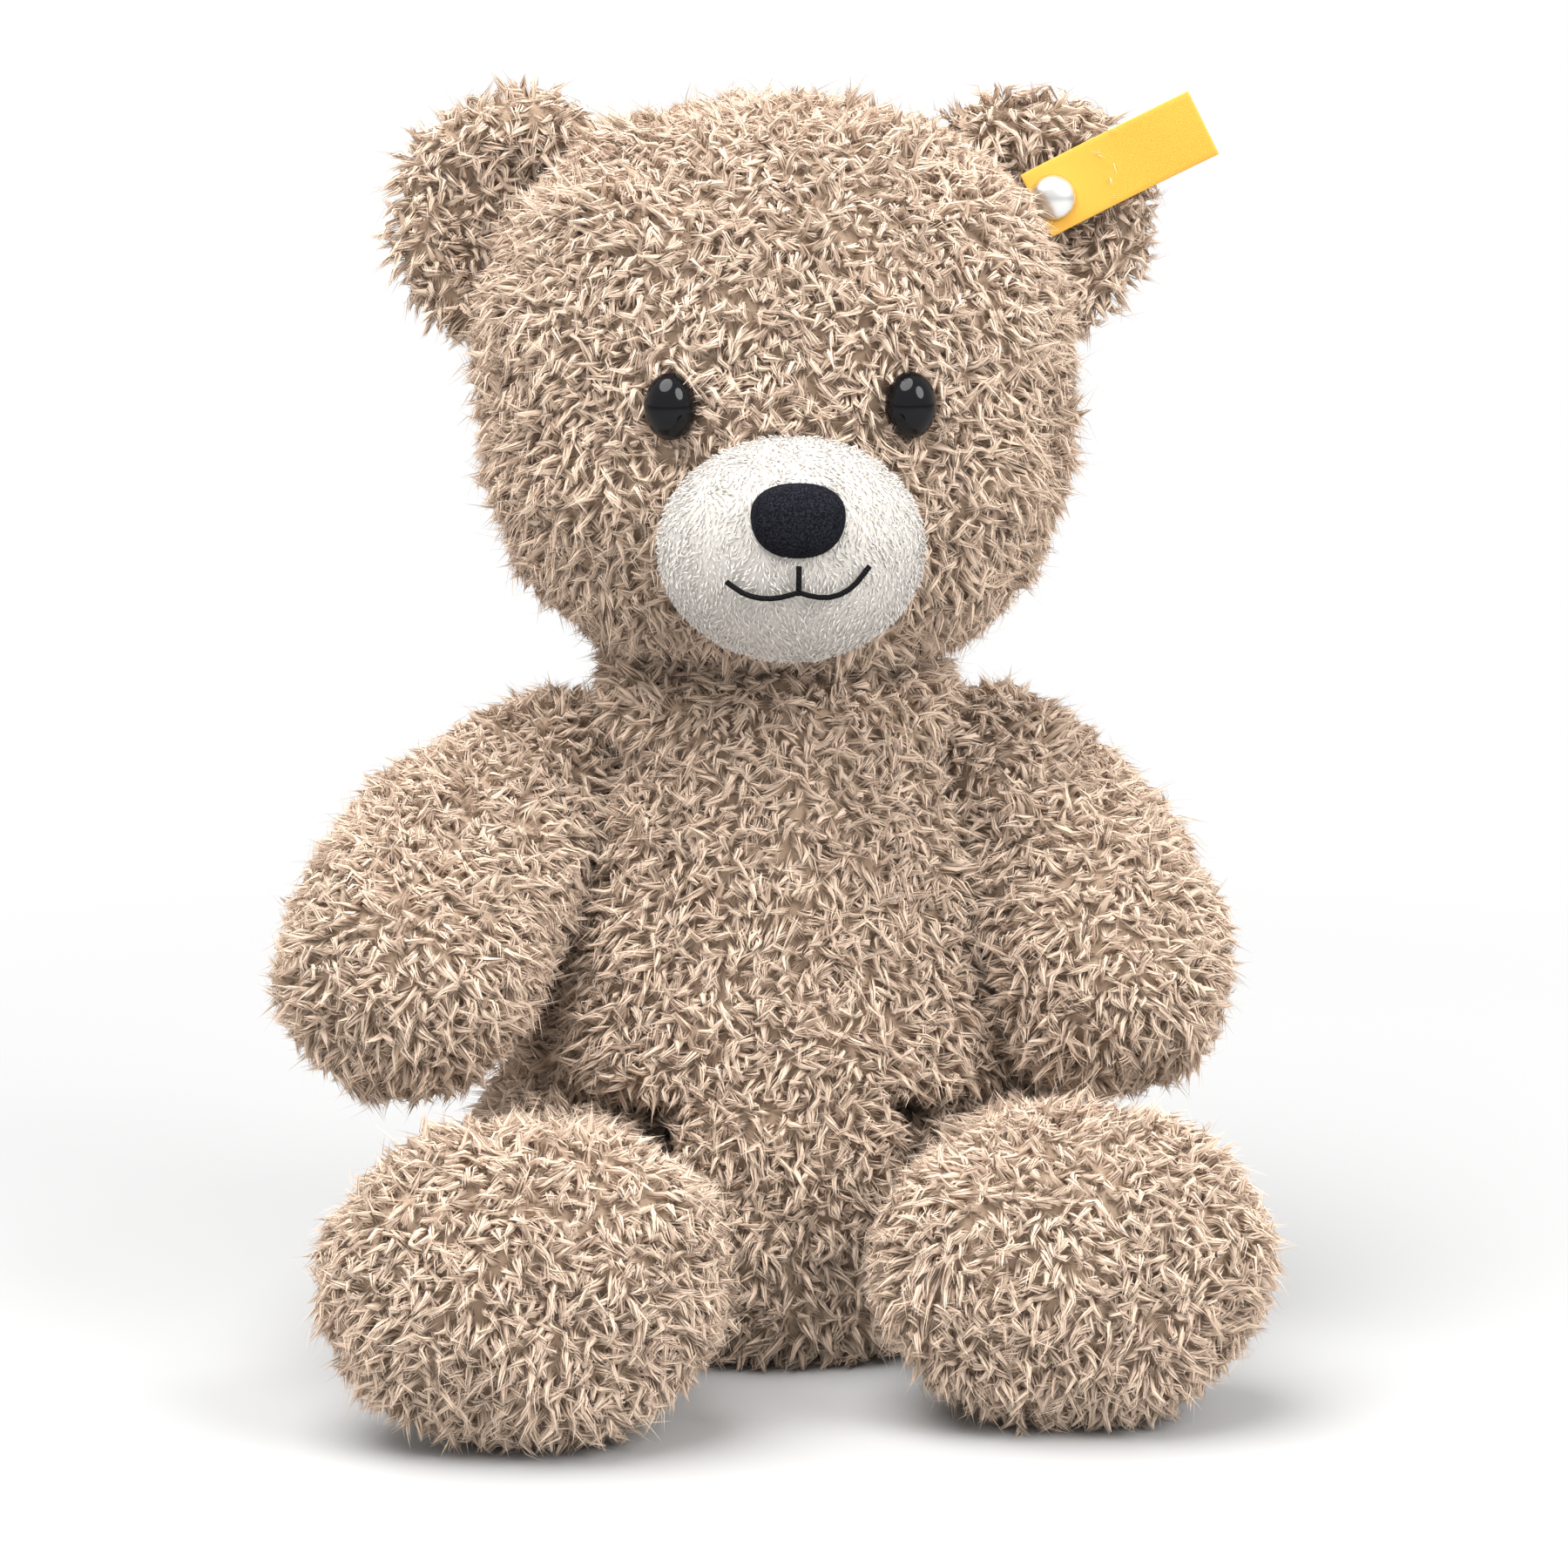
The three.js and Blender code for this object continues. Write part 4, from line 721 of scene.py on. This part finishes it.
tag_tilt = math.radians(27)
tag_length, tag_width = 37 * millimetre, 14 * millimetre
flat_end, behind_front = 4 * millimetre, 0.35 * millimetre
bend_forward, wave_depth, waves_along = 5 * millimetre, 0.5 * millimetre, 7
along = np.array((math.cos(tag_tilt), 0, math.sin(tag_tilt)))
across = np.array((-math.sin(tag_tilt), 0, math.cos(tag_tilt)))
places = places_of(frame["nodes"]["ear_tag"])
corner = (places @ along).min() * along
corner += (places @ across).min() * across + np.array((0, places[:, 1].max() - behind_front, 0))
bpy.ops.mesh.primitive_grid_add(x_subdivisions=48, y_subdivisions=12, size=1, calc_uvs=True)
tag = bpy.context.object
tag.name = "ribbon_tag"
share = places_of(tag)[:, :2] + 0.5
past = np.maximum((share[:, 0] * tag_length - flat_end) / (tag_length - flat_end), 0)
moved = corner + share[:, :1] * tag_length * along + share[:, 1:] * tag_width * across
moved[:, 1] += wave_depth * np.sin(waves_along * share[:, 0]) * share[:, 1] * past
moved[:, 1] -= bend_forward * past ** 2
tag.data.vertices.foreach_set("co", moved.ravel())
tag.data.uv_layers[0].name = "OFBake"
thicken = tag.modifiers.new("cloth", "SOLIDIFY")
thicken.thickness = 0.6 * millimetre
thicken.offset = 0
soften = tag.modifiers.new("soft_edge", "BEVEL")
soften.width = 0.15 * millimetre
soften.segments = 2
for modifier in (thicken.name, soften.name):
    bpy.ops.object.modifier_apply(modifier=modifier)
bpy.ops.object.shade_smooth()
tag.data.materials.append(ribbon)
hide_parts("ear_tag")
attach(tag, "head")

silver, _, _, surface = new_finish("satin_silver")
surface.inputs["Base Color"].default_value = (0.82, 0.82, 0.8, 1)
surface.inputs["Metallic"].default_value = 1
surface.inputs["Roughness"].default_value = 0.28
rivet = domed_button("rivet_dome", "tag_rivet", Vector((4.5, 2.6, 4.5)) * millimetre,
                     1.2 * millimetre, 10 * millimetre, silver)
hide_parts("tag_rivet")
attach(rivet, "head")


# The back flap is a panel of the curly cloth over a thin pad, lined inside. It hangs from its top
# seam, and a hook tape along its lower edge grips the loop tape on the body.
flap_backing = stuffed_backing("flap_plush", ["flap_panel", "flap_pad"], 1.5 * millimetre,
                               2 * millimetre)
lining_from = -0.3
point, normal = roots_on(flap_backing, lock_spacing, 81)
outer = normal[:, 1] > lining_from
point, normal = point[outer], normal[outer]
flap_locks = locks_on("flap_locks", point, normal, np.full(len(point), curly["length"]), curly, 82)
flap_plush = backed(flap_backing, flap_locks, curly_pile)
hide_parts("flap_panel", "flap_pad")
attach(flap_plush, "back_flap")


def dressed(nodes_named, name, colour, roughness, metallic=0.0, grain=None, relief=0.0, marks=0.12):
    """Gives nodes a material, whose surface may carry a fine grain of a size and relief."""
    darkest_at, lightest_at = 0.3, 0.7
    material, nodes, links, surface = new_finish(name)
    surface.inputs["Metallic"].default_value = metallic
    surface.inputs["Roughness"].default_value = roughness
    surface.inputs["Base Color"].default_value = (*colour, 1)
    if grain:
        where = nodes.new("ShaderNodeTexCoord")
        noise = nodes.new("ShaderNodeTexNoise")
        noise.inputs["Scale"].default_value = 1 / grain
        noise.inputs["Detail"].default_value = 3
        links.new(where.outputs["Object"], noise.inputs["Vector"])
        tones = nodes.new("ShaderNodeValToRGB")
        tones.color_ramp.elements[0].position = darkest_at
        tones.color_ramp.elements[0].color = (*(c * (1 - marks) for c in colour), 1)
        tones.color_ramp.elements[1].position = lightest_at
        tones.color_ramp.elements[1].color = (*(min(1, c * (1 + marks)) for c in colour), 1)
        links.new(noise.outputs["Fac"], tones.inputs[0])
        links.new(tones.outputs[0], surface.inputs["Base Color"])
        bump = nodes.new("ShaderNodeBump")
        bump.inputs["Strength"].default_value = relief
        bump.inputs["Distance"].default_value = grain / 2
        links.new(noise.outputs["Fac"], bump.inputs["Height"])
        links.new(bump.outputs[0], surface.inputs["Normal"])
    for node in nodes_named:
        frame["nodes"][node].data.materials.clear()
        frame["nodes"][node].data.materials.append(material)
    return material


dressed(["flap_hook_tape", "flap_loop_tape"], "hook_and_loop", (0.62, 0.53, 0.42), 0.9,
        grain=0.4 * millimetre, relief=1.0, marks=0.3)


# The light unit lies in a pouch of thin cotton. Its case is white plastic with a fine mould grain,
# sealed with rubber, and the button in front is frosted and spreads the light.
dressed(["light_pouch"], "pouch_cotton", (0.8, 0.77, 0.71), 0.9, grain=0.5 * millimetre, relief=0.8)
dressed(["front_case", "rear_case", "battery_door", "left_eye_washer", "right_eye_washer"],
        "case_plastic", (0.78, 0.77, 0.73), 0.42, grain=0.35 * millimetre, relief=0.25, marks=0.03)
dressed(["case_seal"], "seal_rubber", (0.035, 0.035, 0.04), 0.75, grain=0.5 * millimetre, relief=0.3)
frosted = dressed(["push_button"], "frosted_button", (0.93, 0.85, 0.7), 0.5, grain=0.4 * millimetre,
                  relief=0.2, marks=0.03)
frosted.node_tree.nodes["Principled BSDF"].inputs["Subsurface Weight"].default_value = 0.3
frosted.node_tree.nodes["Principled BSDF"].inputs["Subsurface Scale"].default_value = 2 * millimetre


# Inside the case, a green board carries the lamps and the switch, and plated springs and plates
# hold the three cells.
dressed(["circuit_board"], "green_board", (0.02, 0.13, 0.05), 0.35, grain=1.2 * millimetre, relief=0.1)
dressed(["switch_body", "switch_plunger"], "switch_plastic", (0.02, 0.02, 0.022), 0.5,
        grain=0.3 * millimetre, relief=0.2)
dressed(["tag_rivet_washer", "door_screw"] + [f"case_screw_{i}" for i in (1, 2, 3, 4)]
        + [f"contact_{part}_{i}" for part in ("spring", "plate") for i in (1, 2, 3)],
        "plated_steel", (0.6, 0.6, 0.61), 0.28, metallic=1.0, grain=0.6 * millimetre, relief=0.08,
        marks=0.06)
resin = dressed([f"led_{i}" for i in (1, 2, 3)], "lamp_resin", (1.0, 0.86, 0.55), 0.12)
resin.node_tree.nodes["Principled BSDF"].inputs["Transmission Weight"].default_value = 0.6
bare_end = 1.4 * millimetre
for i in (1, 2, 3):
    places = places_of(frame["nodes"][f"battery_{i}"])
    low, high = places[:, 2].min(), places[:, 2].max()
    sleeve = dressed([f"battery_{i}"], f"cell_sleeve_{i}", (0.02, 0.05, 0.13), 0.3,
                     grain=0.8 * millimetre, relief=0.03, marks=0.05)
    nodes, links = sleeve.node_tree.nodes, sleeve.node_tree.links
    surface = nodes["Principled BSDF"]
    where = nodes.new("ShaderNodeTexCoord")
    split = nodes.new("ShaderNodeSeparateXYZ")
    from_middle = nodes.new("ShaderNodeMath")
    from_middle.operation = "SUBTRACT"
    from_middle.inputs[1].default_value = (low + high) / 2
    size_of = nodes.new("ShaderNodeMath")
    size_of.operation = "ABSOLUTE"
    bare = nodes.new("ShaderNodeMath")
    bare.operation = "GREATER_THAN"
    bare.inputs[1].default_value = (high - low) / 2 - bare_end
    links.new(where.outputs["Object"], split.inputs[0])
    links.new(split.outputs["Z"], from_middle.inputs[0])
    links.new(from_middle.outputs[0], size_of.inputs[0])
    links.new(size_of.outputs[0], bare.inputs[0])
    steel_end = nodes.new("ShaderNodeMix")
    steel_end.data_type = "RGBA"
    steel_end.inputs["B"].default_value = (0.6, 0.6, 0.6, 1)
    links.new(bare.outputs[0], steel_end.inputs["Factor"])
    links.new(surface.inputs["Base Color"].links[0].from_socket, steel_end.inputs["A"])
    links.new(steel_end.outputs["Result"], surface.inputs["Base Color"])
    links.new(bare.outputs[0], surface.inputs["Metallic"])
